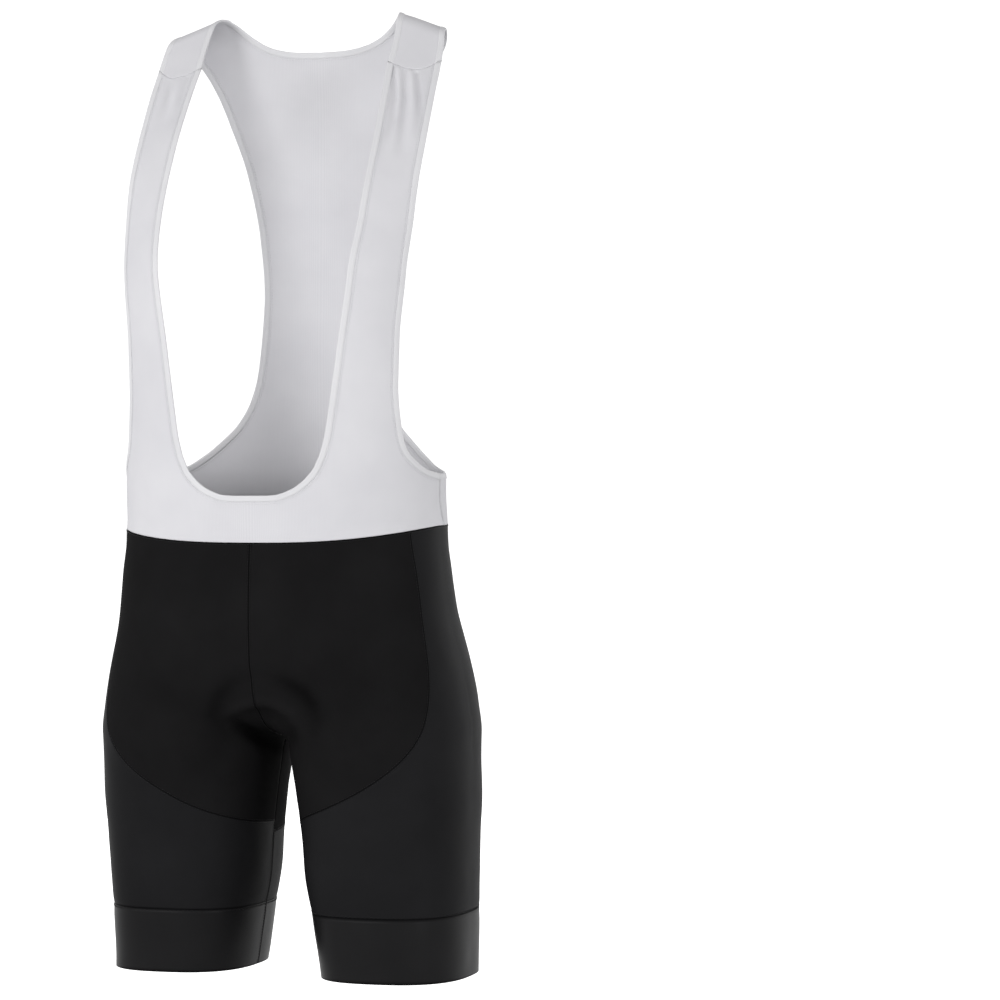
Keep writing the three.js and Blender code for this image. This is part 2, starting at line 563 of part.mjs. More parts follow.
// The cut of one half of the shorts: three blocks side by side down to the corner row, and below it
// one ring. Grids are rows downwards, each from the centre front round to the centre back.
function shortsGrids(side) {
  const cornerFront = frontSeam('around', SEAM_CORNER_ROW);
  const cornerBack = backSeam('around', SEAM_CORNER_ROW);
  // Row lines are spaced so that one of them meets the crotch at the centre
  const stretch = (UPPER_CELLS - CELLS.yoke) / CELLS.toCrotch;
  const innerEnd = (yokeRow) => yokeRow + (ROW.crotch - yokeRow) * stretch;
  const dip = (around) => {
    const inFront = around < cornerFront;
    const share = inFront ? 1 - around / cornerFront : (around - cornerBack) / (1 - cornerBack);
    const deep = innerEnd(inFront ? YOKE_END.side : YOKE_END.centre) - SEAM_CORNER_ROW;
    return share > 0 ? deep * (1 - (1 - share) ** (inFront ? SEAM_TURN.front : SEAM_TURN.back)) : 0;
  };
  const yokeShare = CELLS.yoke / UPPER_CELLS;
  const yokeRow = (around) =>
    mix(YOKE_END.side, YOKE_END.centre, clamp((around - cornerBack) / (1 - cornerBack), 0, 1));
  const upperRow = (t, around) => {
    if (t <= yokeShare) return (t / yokeShare) * yokeRow(around);
    return mix(yokeRow(around), SEAM_CORNER_ROW + dip(around), (t - yokeShare) / (1 - yokeShare));
  };
  const upper = evenly(UPPER_CELLS, (t) => {
    const row = upperRow(t, (cornerFront + cornerBack) / 2);
    const front = frontSeam('around', row);
    const back = backSeam('around', row);
    const block = (cells, from, to, low, high) =>
      evenly(cells, (s) => ({ around: mix(from, to, s), row: upperRow(t, mix(low, high, s)) }));
    return {
      front: block(CELLS.front, 0, front, 0, cornerFront),
      side: block(CELLS.side, front, back, cornerFront, cornerBack),
      back: block(CELLS.back, back, 1, cornerBack, 1),
    };
  });
  const place = ({ around, row }) => shortsPoint(side, around, row);
  const front = upper.map((line) => line.front.map(place));
  const middle = upper.map((line) => line.side.map(place));
  const back = upper.map((line) => line.back.map(place));
  upper.forEach((line, i) => {
    middle[i][0] = front[i][CELLS.front];
    back[i][0] = middle[i][CELLS.side];
  });
  smoothLine([...column(front, CELLS.front), ...front[UPPER_CELLS].slice(0, -1).reverse()]);
  smoothLine([...column(back, 0), ...back[UPPER_CELLS].slice(1)]);
  const seamLine = upper[UPPER_CELLS];
  const ring = [...seamLine.front, ...seamLine.side.slice(1), ...seamLine.back.slice(1)];
  const across = [front, middle, back].map((grid) => grid[UPPER_CELLS]);
  const ringPoints = [...across[0], ...across[1].slice(1), ...across[2].slice(1)];
  const lower = evenly(CELLS.lower, (t) => {
    if (t === 0) return ringPoints;
    return ring.map(({ around, row }) => shortsPoint(side, around, mix(row, ROW.bandTop, t)));
  });
  const band = evenly(CELLS.band, (t) => {
    if (t === 0) return lower[CELLS.lower];
    return ring.map(({ around }) => shortsPoint(side, around, mix(ROW.bandTop, ROW.hem, t)));
  });
  return { front, middle, back, lower, band };
}

function cloth(name, sheet, thickness, color, roughness) {
  const material = new THREE.MeshStandardMaterial({ color, roughness, metalness: 0 });
  const mesh = new THREE.Mesh(wallGeometry(sheet, thickness), material);
  mesh.name = name;
  return mesh;
}

// A narrow elastic along a line of a sheet's cut edge, just outside it. The line has the cloth on
// its left, seen from outside. Each end of the tape carries on the sheet's other cut edge there, so
// it lies flush with the next piece's tape.
function tape(name, sheet, line) {
  const inwards = sheet.inwards(sheet.normals());
  const ids = line.map((p) => sheet.idOf(p));
  const rim = sheet.rim();
  const outer = line.map((p, i) => {
    const id = ids[i];
    if (i > 0 && i < line.length - 1) return p.clone().addScaledVector(inwards.get(id), -TAPE_WIDTH);
    const next = i === 0 ? ids[1] : ids[i - 1];
    const beside = rim.filter((edge) => edge.includes(id)).flat();
    const other = beside.find((one) => one !== id && one !== next);
    const run = sheet.points[next].clone().sub(p).normalize();
    const out = p.clone().sub(sheet.points[other]);
    const square = out.clone().addScaledVector(run, -out.dot(run)).length();
    return p.clone().addScaledVector(out, TAPE_WIDTH / square);
  });
  return cloth(name, new Sheet().addGrid([outer, line], false), WALL.tape, GREY.tape, 0.7);
}

function bibParts() {
  const parts = [];
  const frontLeft = bibFrontGrid();
  const frontRight = mirrored(frontLeft);
  const front = new Sheet().addGrid(frontLeft, false).addGrid(frontRight, true);
  parts.push(cloth('bib_front', front, WALL.bib, GREY.bib, 0.85));
  const corner = frontLeft.findIndex((line) => line[STRAP_CELLS].z > ARMHOLE_FLOOR);
  const neckFront = [...column(frontLeft, 0).reverse(), ...column(frontRight, 0).slice(1)];
  parts.push(tape('neck_tape_front', front, neckFront));
  const armhole = (grid, from) => column(grid.slice(from), STRAP_CELLS);
  parts.push(tape('armhole_tape_front_left', front, armhole(frontLeft, corner)));
  parts.push(tape('armhole_tape_front_right', front, armhole(frontRight, corner).reverse()));
  const { grid: backLeft, split } = bibBackGrid(frontLeft);
  const backRight = mirrored(backLeft);
  const back = new Sheet().addGrid(backLeft, false).addGrid(backRight, true);
  parts.push(cloth('bib_back', back, WALL.bib, GREY.bib, 0.85));
  const backCorner = backLeft.findIndex((line) => line[STRAP_CELLS].z > ARMHOLE_FLOOR);
  const neckLeft = column(backLeft.slice(split), 0);
  const neckRight = column(backRight.slice(split), 0);
  parts.push(tape('neck_tape_back', back, [...neckRight.reverse(), ...neckLeft.slice(1)]));
  parts.push(tape('armhole_tape_back_left', back, armhole(backLeft, backCorner).reverse()));
  parts.push(tape('armhole_tape_back_right', back, armhole(backRight, backCorner)));
  return parts;
}

function shortsParts() {
  const parts = [];
  const yoke = new Sheet();
  const centre = [];
  [['left', 1], ['right', -1]].forEach(([name, side]) => {
    const flip = side > 0;
    const { front, middle, back, lower, band } = shortsGrids(side);
    const add = (piece, grids, thickness, color, roughness) => {
      const sheet = new Sheet();
      grids.forEach((grid) => sheet.addGrid(grid, flip));
      sheet.settle(SETTLE_ROUNDS);
      parts.push(cloth(`${piece}_${name}`, sheet, thickness, color, roughness));
    };
    add('shorts_front', [front], WALL.shorts, GREY.matt, 0.8);
    add('shorts_side', [middle, lower], WALL.shorts, GREY.gloss, 0.5);
    add('shorts_back', [back.slice(CELLS.yoke)], WALL.shorts, GREY.matt, 0.8);
    add('leg_band', [band], WALL.band, GREY.band, 0.4);
    const yokeGrid = back.slice(0, CELLS.yoke + 1);
    yokeGrid.forEach((line, i) => {
      centre[i] = centre[i] || line[CELLS.back];
      line[CELLS.back] = centre[i];
    });
    yoke.addGrid(yokeGrid, flip);
  });
  yoke.settle(SETTLE_ROUNDS);
  parts.push(cloth('back_yoke', yoke, WALL.shorts, GREY.gloss, 0.5));
  return parts;
}

const garment = new THREE.Group();
garment.name = 'cycling_bib_shorts';
garment.position.y = -RIDGE_BACK;
garment.add(...bibParts(), ...shortsParts());

export default garment;
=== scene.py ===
import json
import math

import bpy
import numpy as np
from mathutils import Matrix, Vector, noise
from mathutils.bvhtree import BVHTree

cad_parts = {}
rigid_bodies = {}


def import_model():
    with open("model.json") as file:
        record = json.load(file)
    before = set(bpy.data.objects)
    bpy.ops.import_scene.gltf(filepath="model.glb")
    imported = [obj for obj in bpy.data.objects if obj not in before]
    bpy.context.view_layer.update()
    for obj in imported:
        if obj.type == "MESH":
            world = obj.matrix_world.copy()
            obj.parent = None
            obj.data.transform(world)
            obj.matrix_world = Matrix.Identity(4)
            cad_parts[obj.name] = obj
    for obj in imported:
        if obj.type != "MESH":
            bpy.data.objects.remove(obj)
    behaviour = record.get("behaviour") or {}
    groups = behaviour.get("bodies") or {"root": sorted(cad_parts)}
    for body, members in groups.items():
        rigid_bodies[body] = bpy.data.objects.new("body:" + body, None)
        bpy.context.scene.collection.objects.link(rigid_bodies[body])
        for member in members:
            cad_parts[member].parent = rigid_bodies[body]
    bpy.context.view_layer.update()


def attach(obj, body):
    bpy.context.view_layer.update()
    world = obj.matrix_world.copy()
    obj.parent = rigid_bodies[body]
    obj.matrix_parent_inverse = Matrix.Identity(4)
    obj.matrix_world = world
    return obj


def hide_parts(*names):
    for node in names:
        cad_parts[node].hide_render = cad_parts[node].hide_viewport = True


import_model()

MM = 0.001
RIDGE_BACK = 59

# Cloth: its thickness by kind, and its painted shade: how much darker its colour is painted for each
# millimetre of a fold's hollow (and lighter, as painted light, on a ridge), and the least and most of it
SHELL = {"bib": 1.1, "shorts": 1.3, "band": 1.9}
HOLLOW_SHADE = {"bib": 0.035, "shorts": 0.13, "band": 0.1}
LEAST_SHADE = 0.4
MOST_SHADE = 1.12
EDGE_REACH = 14
EDGE_EASE = 12
SEAM_DARK_REACH = 2.2
TAPE_WIDTH = 5.2
TAPE_THICK = 2.2
TAPE_OVERLAP = 1.0
WAIST_EASE = 0.3
SUBDIVISIONS = 3
FINE = 8


class Table:
    """Rows of numbers in named columns, read smoothly along the first column."""

    def __init__(self, names, rows):
        rows = np.array(rows, float)
        rows = rows[np.argsort(rows[:, 0])]
        self.at = rows[:, 0]
        self.names = names.split()
        self.rows = rows
        rise = np.diff(rows, axis=0) / np.diff(self.at)[:, None]
        before, after = rise[:-1], rise[1:]
        turning = before * after <= 0
        bend = 2 * before * after / np.where(turning, 1, before + after)
        self.slopes = np.vstack([rise[:1], np.where(turning, 0, bend), rise[-1:]])

    def __call__(self, name, x):
        column = self.names.index(name)
        x = np.clip(x, self.at[0], self.at[-1])
        i = np.clip(np.searchsorted(self.at, x, side="right") - 1, 0, len(self.at) - 2)
        span = self.at[i + 1] - self.at[i]
        t = (x - self.at[i]) / span
        low, high = self.rows[i, column], self.rows[i + 1, column]
        lead = t * (1 - t) ** 2 * span * self.slopes[i, column]
        tail = t * t * (1 - t) * span * self.slopes[i + 1, column]
        return low + (high - low) * t * t * (3 - 2 * t) + lead - tail


def mix(a, b, t):
    return a + (b - a) * t


def smooth(x, low, high):
    t = np.clip((x - low) / (high - low), 0, 1)
    return t * t * (3 - 2 * t)


# Shoulders
RIDGE_RADIUS = 26
RIDGE_FRONT_TURN = math.radians(54)
SHOULDER_SLOPE = 0.37
SLOPE_START = 95
BACK_DROOP = (-190, -40)
STRAP_SEAM_SAG = 7
BIB_SQUARENESS = 2.5
SIDE = math.inf

# The bib's body form, in front by height and behind by the length climbed up the back
FRONT_BODY = Table("z wide y hollow droop", [
    (-10, 163, 38.5, 0, 1),
    (-57, 163, 4.4, 0, 1),
    (-70, 163, -6, 3, 1),
    (-142, 163, -58, 22, 1),
    (-210, 163, -101, 72, 0.5),
    (-272, 163, -125, 106, 0),
    (-340, 162, -123, 107, 0),
    (-460, 159.5, -121, 107, 0),
    (-535, 159, -118, 104, 0),
])
BACK_BODY = Table("climb wide y hollow", [
    (-500, 159, 93, 107),
    (-420, 159, 90, 104),
    (-300, 162, 87, 98),
    (-180, 163, 89, 80),
    (-80, 163, 89, 45),
    (0, 163, 85, 15),
    (65, 163, 85, 3),
    (95, 163, 85, 0),
])

# Sections of the bib from the neckline to the outer edge: steps to the next, then half width and
# level at the neckline, then the same at the outer edge
FRONT_SECTIONS = [
    (1, 0, -491, 0, -531.5),
    (1, 14, -491, 36, -530.6),
    (1, 27, -490.3, 74, -528),
    (1, 42, -485.6, 112, -523.3),
    (1, 54, -478.5, 141, -518.5),
    (1, 62, -471, SIDE, -515),
    (1, 68, -463.5, SIDE, -491),
    (1, 72, -455.5, SIDE, -469),
    (1, 75, -448.5, 156.5, -465.5),
    (1, 77, -441.5, 149, -456),
    (2, 80, -430, 140.5, -438),
    (2, 87.7, -378, 135.5, -380),
    (3, 94, -332, 137, -332),
    (3, 102.4, -272, 142.5, -272),
    (3, 107.4, -210, 146, -210),
    (4, 108, -142, 147, -142),
    (1, 105, -70, 146, -70),
    (1, 104, -57, 145.5, -57),
]
BACK_SECTIONS = [
    (1, 0, -468, SIDE, -489),
    (1, 0, -455, SIDE, -465),
    (1, 0, -442, SIDE, -443),
    (1, 0, -434, 150, -441),
    (1, 0, -427, 134, -435.5),
    (1, 0, -415, 117, -423.5),
    (1, 0, -398, 101, -409),
    (1, 0, -378, 84, -391),
    (1, 0, -355, 69, -364),
    (2, 0, -325, 60.5, -330),
    (2, 0, -255, 54.8, -256),
    (2, 0, -185, 60, -194),
    (2, 0, -110, 75, -124),
    (1, 0, -40, 94, -73),
    (1, 0, -12.5, 104, -45.7),
    (1, 25, -11.5, 113, -25.3),
    (1, 50, -7, 120, -12),
    (1, 72, 4, 127, 0),
    (2, 88, 19.9, 133, 14),
    (2, 99.4, 40.8, 138, 36),
    (2, 103, 65, 142, 56),
    (2, 104.5, 95, 144.5, 78),
    (1, 104, 122.6, 145.5, 97.4),
]
STRAP_CELLS = 6
WAIST_SECTIONS = 5
SIDE_SEAM_SECTIONS = 2
NECK_SECTION = 14
ARMHOLE_CORNER = 7

# Hips and seat
HIPS = Table("z wide front back square", [
    (-480, 159, -118, 92, 2.5),
    (-530, 160, -118, 95, 2.55),
    (-560, 163, -120, 100, 2.6),
    (-600, 166.5, -121, 110, 2.7),
    (-640, 171, -119, 120, 2.8),
    (-680, 175, -115, 122, 2.8),
    (-720, 178, -112, 118, 2.8),
])
CROTCH_FROM = -640
CROTCH_DEEP = 74
CROTCH_ROUND = 2.2
THIGH_FROM = 15
THIGH_TO = 85
THIGH_DEEP = 150

LEG = Table("z x y wide deep", [
    (-590, 84, 2, 44, 60),
    (-650, 89, 2, 70, 88),
    (-690, 93.5, 2, 83, 98),
    (-720, 96.5, 2, 88.5, 101),
    (-780, 103.5, 2, 86, 96),
    (-820, 106, 2, 82.5, 94),
    (-860, 108, 2, 80.5, 92),
    (-900, 112, 2, 76.5, 89),
    (-957, 116.5, 2, 71.5, 86),
])
LEG_SQUARENESS = 2.6
LEG_STEP = {1: -8, -1: 20}
LEG_STEP_FROM = 700
LEG_STEP_TO = 957
LEG_TRIM = {1: 0, -1: 2.5}
LEG_TO_LEG = 12
LEG_TO_HIPS = 34

# Rows down the shorts
SHORTS_ROWS = Table("row in_x front_y front_z back_y back_z side_x side_z leg", [
    (0, 0, -118, -531.5, 92, -494, 159, -515, 0),
    (1, 0, -121, -572, 100, -548, 164, -562, 0),
    (2, 0, -121, -612, 112, -598, 170, -608, 0),
    (3, 0, -117, -648, 121, -642, 177, -652, 0.05),
    (4, 0, -104, -678, 112, -680, 182, -690, 0.2),
    (5, 0, -70, -702, 74, -704, 185, -722, 0.5),
    (6, 0, 2, -714, 2, -714, 186, -752, 1),
    (7, 14, 2, -752, 2, -752, 186, -782, 1),
    (8, 20, 2, -795, 2, -795, 186, -815, 1),
    (9, 28, 2, -845, 2, -845, 186, -852, 1),
    (10, 35, 2, -894, 2, -894, 186, -894, 1),
    (11, 44, 2, -957, 2, -957, 185, -957, 1),
])
WAIST_ROW = 0
CROTCH_ROW = 6
BAND_ROW = 10
HEM_ROW = 11
TURN_OUT = 0.75
TURN_LEVEL = 1.6

# Seams on each half: around is 0 at the centre front, 0.5 at the side and 1 at the centre back
FRONT_SEAM = Table("row around", [
    (0, 0.34), (1, 0.357), (2.4, 0.36), (3.6, 0.342), (4.7, 0.326), (5.5, 0.338), (6, 0.352),
])
BACK_SEAM = Table("row around", [(0, 0.65), (1.8, 0.68), (3.7, 0.715), (5, 0.68), (6, 0.653)])
CORNER_ROW = 6
SEAM_TURN_FRONT = 2.7
SEAM_TURN_BACK = 4
YOKE_END_SIDE = 1.8
YOKE_END_CENTRE = 1.4
FREE_ROWS = (2.5, 4, 6, 7.5)
FREE_FACING = (0.3, 0.95)

FRONT_CELLS = 9
SIDE_CELLS = 7
BACK_CELLS = 9
YOKE_CELLS = 4
TO_CROTCH_CELLS = 9
BELOW_CROTCH_CELLS = 5
LOWER_CELLS = 7
BAND_CELLS = 2
UPPER_CELLS = YOKE_CELLS + TO_CROTCH_CELLS + BELOW_CROTCH_CELLS

SETTLE_ROUNDS = 30
SEAM_ROUNDS = 12
FIRST_TURNS = 14
LATER_TURNS = 2
FINE_TURNS = 2
SLOPE_STEP = 0.5
LEAST_SLOPE = 0.05

# Length of cloth for one unit of around and of row, and for one radian round the bib
WEAVE_AROUND = 480
WEAVE_ROW = 42
WEAVE_TURN = 160


def bow(share):
    return np.maximum(share, 0) ** (2 / BIB_SQUARENESS)


def angle_at(x, wide):
    return np.arcsin(np.clip(x / wide, 0, 1) ** (BIB_SQUARENESS / 2))


def slope_drop(x):
    return SHOULDER_SLOPE * np.maximum(0, x - SLOPE_START)


def front_point(angle, z):
    x = FRONT_BODY("wide", z) * bow(np.sin(angle))
    level = z + FRONT_BODY("droop", z) * slope_drop(x)
    y = FRONT_BODY("y", level) + FRONT_BODY("hollow", level) * (1 - bow(np.cos(angle)))
    return np.stack([x, y, z + 0 * x], -1)


def back_point(angle, climb):
    x = BACK_BODY("wide", climb) * bow(np.sin(angle))
    spread = BACK_BODY("hollow", climb) * (1 - bow(np.cos(angle)))
    turn = np.clip(climb / RIDGE_RADIUS, 0, math.pi / 2 + RIDGE_FRONT_TURN)
    past = climb - RIDGE_RADIUS * turn
    below = climb < 0
    y = np.where(
        below,
        BACK_BODY("y", climb),
        RIDGE_BACK + RIDGE_RADIUS * np.cos(turn) - past * math.cos(RIDGE_FRONT_TURN),
    )
    fall = np.where(below, -past, past * math.sin(RIDGE_FRONT_TURN))
    z = -RIDGE_RADIUS + RIDGE_RADIUS * np.sin(turn) - fall
    droop = smooth(climb, *BACK_DROOP)
    return np.stack([x, y - spread, z - droop * slope_drop(x)], -1)


def sections(rows, wide_at, corner):
    """The sections of a table with the steps between them filled in, as columns. The outer edge
    turns sharply at the corner section."""
    steps, neck_x, neck, edge_x, edge = np.array(rows, float).T
    wide = wide_at(edge)
    index = np.arange(len(rows))
    at = [i + np.arange(n * FINE) / (n * FINE) for i, n in zip(index[:-1], steps[:-1].astype(int))]
    at = np.concatenate([*at, [index[-1]]])
    inside = Table("index angle level", np.column_stack([index, angle_at(neck_x, wide), neck]))
    outside = np.column_stack([index, angle_at(edge_x, wide), edge])
    below = Table("index angle level", outside[: corner + 1])
    above = Table("index angle level", outside[corner:])
    edges = [np.where(at < corner, below(name, at), above(name, at)) for name in ("angle", "level")]
    columns = [inside("angle", at), inside("level", at), *edges]
    return [column[:, None] for column in columns]


def soften(a, b, reach):
    share = np.clip(0.5 + 0.5 * (b - a) / reach, 0, 1)
    return mix(b, a, share) - reach * share * (1 - share)


def hips_field(p):
    x, y, z = p.T
    wide, front, back, square = (HIPS(name, z) for name in ("wide", "front", "back", "square"))
    middle = (front + back) / 2 - 2
    deep = np.where(y < middle, middle - front, back - middle)
    ring = ((abs(x) / wide) ** square + (abs(y - middle) / deep) ** square) ** (1 / square)
    bottom = mix(CROTCH_DEEP, THIGH_DEEP, smooth(abs(x), THIGH_FROM, THIGH_TO))
    below = np.maximum(0, CROTCH_FROM - z) / bottom
    whole = (ring ** CROTCH_ROUND + below ** CROTCH_ROUND) ** (1 / CROTCH_ROUND)
    return (whole - 1) * np.minimum(wide, deep)


def leg_step(side, z):
    return LEG_STEP[side] * smooth(-z, LEG_STEP_FROM, LEG_STEP_TO)


def leg_field(p, side):
    x, y, z = p.T
    wide, deep = LEG("wide", z), LEG("deep", z)
    trim = LEG_TRIM[side] * smooth(-z, LEG_STEP_FROM, LEG_STEP_TO)
    wide = wide - trim
    across = abs(side * x - LEG("x", z) + trim) / wide
    along = abs(y - LEG("y", z) - leg_step(side, z)) / deep
    ring = (across ** LEG_SQUARENESS + along ** LEG_SQUARENESS) ** (1 / LEG_SQUARENESS)
    return (ring - 1) * np.minimum(wide, deep)


# The pad's relief: its middle across and its level, half its width and height, and how far it stands out
PAD_MOUND = (6, -694, 44, 36, 6)
PAD_LOBE = (53, -690, 46, 48, 3.5)


def pad_relief(p):
    """How far the seat pad inside lifts the cloth: one mound in front and two flat lobes behind."""
    x, y, z = p.T

    def away(across, pad):
        return np.hypot((across - pad[0]) / pad[2], (z - pad[1]) / pad[3])

    in_front = PAD_MOUND[4] * (1 - smooth(away(x, PAD_MOUND), 0.3, 1))
    behind = PAD_LOBE[4] * (1 - smooth(away(abs(x), PAD_LOBE), 0.8, 1.1)) * smooth(y, 10, 50)
    return np.where(y < 0, in_front, behind)


def body_field(p):
    """Below zero inside the hips and legs and above zero outside, in millimetres."""
    legs = soften(leg_field(p, 1), leg_field(p, -1), LEG_TO_LEG)
    return soften(hips_field(p), legs, LEG_TO_HIPS) - pad_relief(p)


def field_slope(p):
    steps = np.eye(3) * SLOPE_STEP
    rises = [body_field(p + step) - body_field(p - step) for step in steps]
    return np.stack(rises, -1) / (2 * SLOPE_STEP)


def to_body_form(p, turns, freedom=1.0):
    for _ in range(turns):
        slope = field_slope(p) * freedom
        reach = body_field(p) / np.maximum((slope ** 2).sum(-1), LEAST_SLOPE)
        p = p - slope * reach[:, None]
    return p


def shorts_point(side, around, row):
    """Points of the shorts, from first guesses on their rows."""
    around, row = (np.array(a, float).ravel() for a in np.broadcast_arrays(around, row))
    angle = math.pi * around
    in_front = around <= 0.5
    in_y = np.where(in_front, SHORTS_ROWS("front_y", row), SHORTS_ROWS("back_y", row))
    in_z = np.where(in_front, SHORTS_ROWS("front_z", row), SHORTS_ROWS("back_z", row))
    facing = abs(np.cos(angle)) ** TURN_OUT
    z = mix(SHORTS_ROWS("side_z", row), in_z, abs(np.cos(angle)) ** TURN_LEVEL)
    middle = LEG("y", z) + leg_step(side, z)
    out = np.maximum(np.sin(angle), 0) ** TURN_OUT
    hip_x = mix(SHORTS_ROWS("in_x", row), SHORTS_ROWS("side_x", row), out)
    leg_x = LEG("x", z) - LEG("wide", z) * np.cos(2 * angle)
    leg_y = middle - LEG("deep", z) * np.sin(2 * angle)
    share = SHORTS_ROWS("leg", row)
    centre = (row < CROTCH_ROW + 0.001) & ((around == 0) | (around == 1))
    x = np.where(centre, 0, side * mix(hip_x, leg_x, share))
    y = mix(middle + (in_y - middle) * facing, leg_y, share)
    near = smooth(row, *FREE_ROWS[:2]) * (1 - smooth(row, *FREE_ROWS[2:]))
    upright = near * smooth(facing, *FREE_FACING)
    freedom = np.stack([np.where(centre, 0, 1), np.ones_like(x), upright], -1)
    return to_body_form(np.stack([x, y, z], -1), FIRST_TURNS, freedom)


class Pool:
    """All points of the cut, which neighbouring grids share by number."""

    def __init__(self):
        self.points = np.zeros((0, 3))

    def add(self, points):
        first = len(self.points)
        flat = np.reshape(points, (-1, 3))
        self.points = np.vstack([self.points, flat])
        return np.arange(first, first + len(flat)).reshape(np.shape(points)[:-1])

    def mirrored(self, ids):
        points = self.points[ids]
        copies = self.add(points * (-1, 1, 1))
        return np.where(points[..., 0] == 0, ids, copies)


pool = Pool()


class Sheet:
    """Four-cornered cells facing outwards, made from grids of point numbers with weave coordinates."""

    def __init__(self, *grids):
        cells, weave = [], []
        for ids, coords, flip in grids:
            corners = [np.s_[:-1, :-1], np.s_[:-1, 1:], np.s_[1:, 1:], np.s_[1:, :-1]]
            if flip:
                corners.reverse()
            cells.append(np.stack([ids[c] for c in corners], -1).reshape(-1, 4))
            weave.append(np.stack([coords[c] for c in corners], -2).reshape(-1, 4, 2))
        cells = np.vstack(cells)
        self.weave = np.vstack(weave)
        self.ids, places = np.unique(cells, return_inverse=True)
        self.cells = places.reshape(-1, 4)
        edges = np.stack([self.cells, np.roll(self.cells, -1, 1)], -1).reshape(-1, 2)
        keys, counts = np.unique(np.sort(edges, 1), axis=0, return_counts=True)
        self.edges = keys
        lone = {tuple(pair) for pair in keys[counts == 1]}
        self.rim = np.array([pair for pair in edges if tuple(sorted(pair)) in lone])

    def settle(self):
        """Evens out the cells between the cut edges, with every point kept on the body form."""
        points = pool.points[self.ids]
        inner = np.setdiff1d(np.arange(len(points)), self.rim)
        for _ in range(SETTLE_ROUNDS):
            sums, counts = np.zeros_like(points), np.zeros((len(points), 1))
            for a, b in (self.edges.T, self.edges[:, ::-1].T):
                np.add.at(sums, a, points[b])
                np.add.at(counts, a, 1)
            points[inner] = to_body_form((sums / counts)[inner], LATER_TURNS)
        pool.points[self.ids] = points

    def normals(self):
        points = pool.points[self.ids]
        a, b, c, d = (points[self.cells[:, k]] for k in range(4))
        sums = np.zeros_like(points)
        for k in range(4):
            np.add.at(sums, self.cells[:, k], np.cross(c - a, d - b))
        sums[points[:, 0] == 0, 0] = 0
        return sums / np.linalg.norm(sums, axis=1)[:, None]

    def outwards(self):
        """Directions at the rim's points that lead away from the cloth, as long as keeps its width."""
        points, normals = pool.points[self.ids], self.normals()
        sides = {}
        for a, b in self.rim:
            run = points[b] - points[a]
            for end in (a, b):
                side = np.cross(run, normals[end])
                sides.setdefault(end, []).append(side / np.linalg.norm(side))
        result = {}
        for end, (first, second) in sides.items():
            middle = (first + second) / np.linalg.norm(first + second)
            result[self.ids[end]] = middle / max(middle @ first, 0.5)
        return result


def pull_edge(grid, first, target):
    """Brings part of a grid's last column to given points, and eases its neighbours along."""
    last = first + len(target)
    shift = np.zeros((len(grid), 3))
    shift[first:last] = target - grid[first:last, -1]
    for k in range(1, FINE):
        share = 1 - k / FINE
        if first - k >= 0:
            shift[first - k] = shift[first] * share
        if last - 1 + k < len(grid):
            shift[last - 1 + k] = shift[last - 1] * share
    for k in range(FINE):
        grid[:, -1 - k] += shift * (1 - k / FINE)


def pull_row(grid, row, target):
    """Brings a grid's first or last row to given points, and eases the rows beside it along."""
    shift = target - grid[row]
    step = 1 if row == 0 else -1
    for k in range(FINE):
        grid[row + k * step] += shift * (1 - k / FINE)


def bib_grids():
    """The left half of the bib, front and back: point numbers and weave coordinates."""
    t = np.linspace(0, 1, STRAP_CELLS * FINE + 1)
    neck_angle, neck, edge_angle, edge = sections(
        FRONT_SECTIONS, lambda z: FRONT_BODY("wide", z), ARMHOLE_CORNER)
    angle, level = mix(neck_angle, edge_angle, t), mix(neck, edge, t)
    near_seam = np.clip(1 - (len(level) - 1 - np.arange(len(level))) / FINE, 0, 1)
    level = level - STRAP_SEAM_SAG * np.sin(math.pi * t) * near_seam[:, None]
    front = front_point(angle, level)
    half = SHORTS_ROWS("side_x", WAIST_ROW)
    edge_x = np.array([min(row[3], half) for row in FRONT_SECTIONS[: WAIST_SECTIONS + 1]])
    around = np.arcsin((edge_x / half) ** (1 / TURN_OUT)) / math.pi
    around = np.interp(np.arange(WAIST_SECTIONS * FINE + 1) / FINE, np.arange(len(around)), around)
    pull_edge(front, 0, shorts_point(1, around, WAIST_ROW) + (0, 0, WAIST_EASE))
    front_weave = np.stack([angle * WEAVE_TURN, -level * 1.1], -1)

    neck_angle, neck, edge_angle, edge = sections(
        BACK_SECTIONS, lambda c: BACK_BODY("wide", c), SIDE_SEAM_SECTIONS)
    angle, climb = mix(neck_angle, edge_angle, t), mix(neck, edge, t)
    back = back_point(angle, climb)
    pull_row(back, 0, shorts_point(1, mix(1, 0.5, t), WAIST_ROW) + (0, 0, WAIST_EASE))
    pull_row(back, -1, front[-1])
    corner = WAIST_SECTIONS * FINE
    pull_edge(back, 0, front[corner : corner + SIDE_SEAM_SECTIONS * FINE + 1, -1])
    back_weave = np.stack([angle * WEAVE_TURN, climb], -1)
    return (pool.add(front), front_weave), (pool.add(back), back_weave)


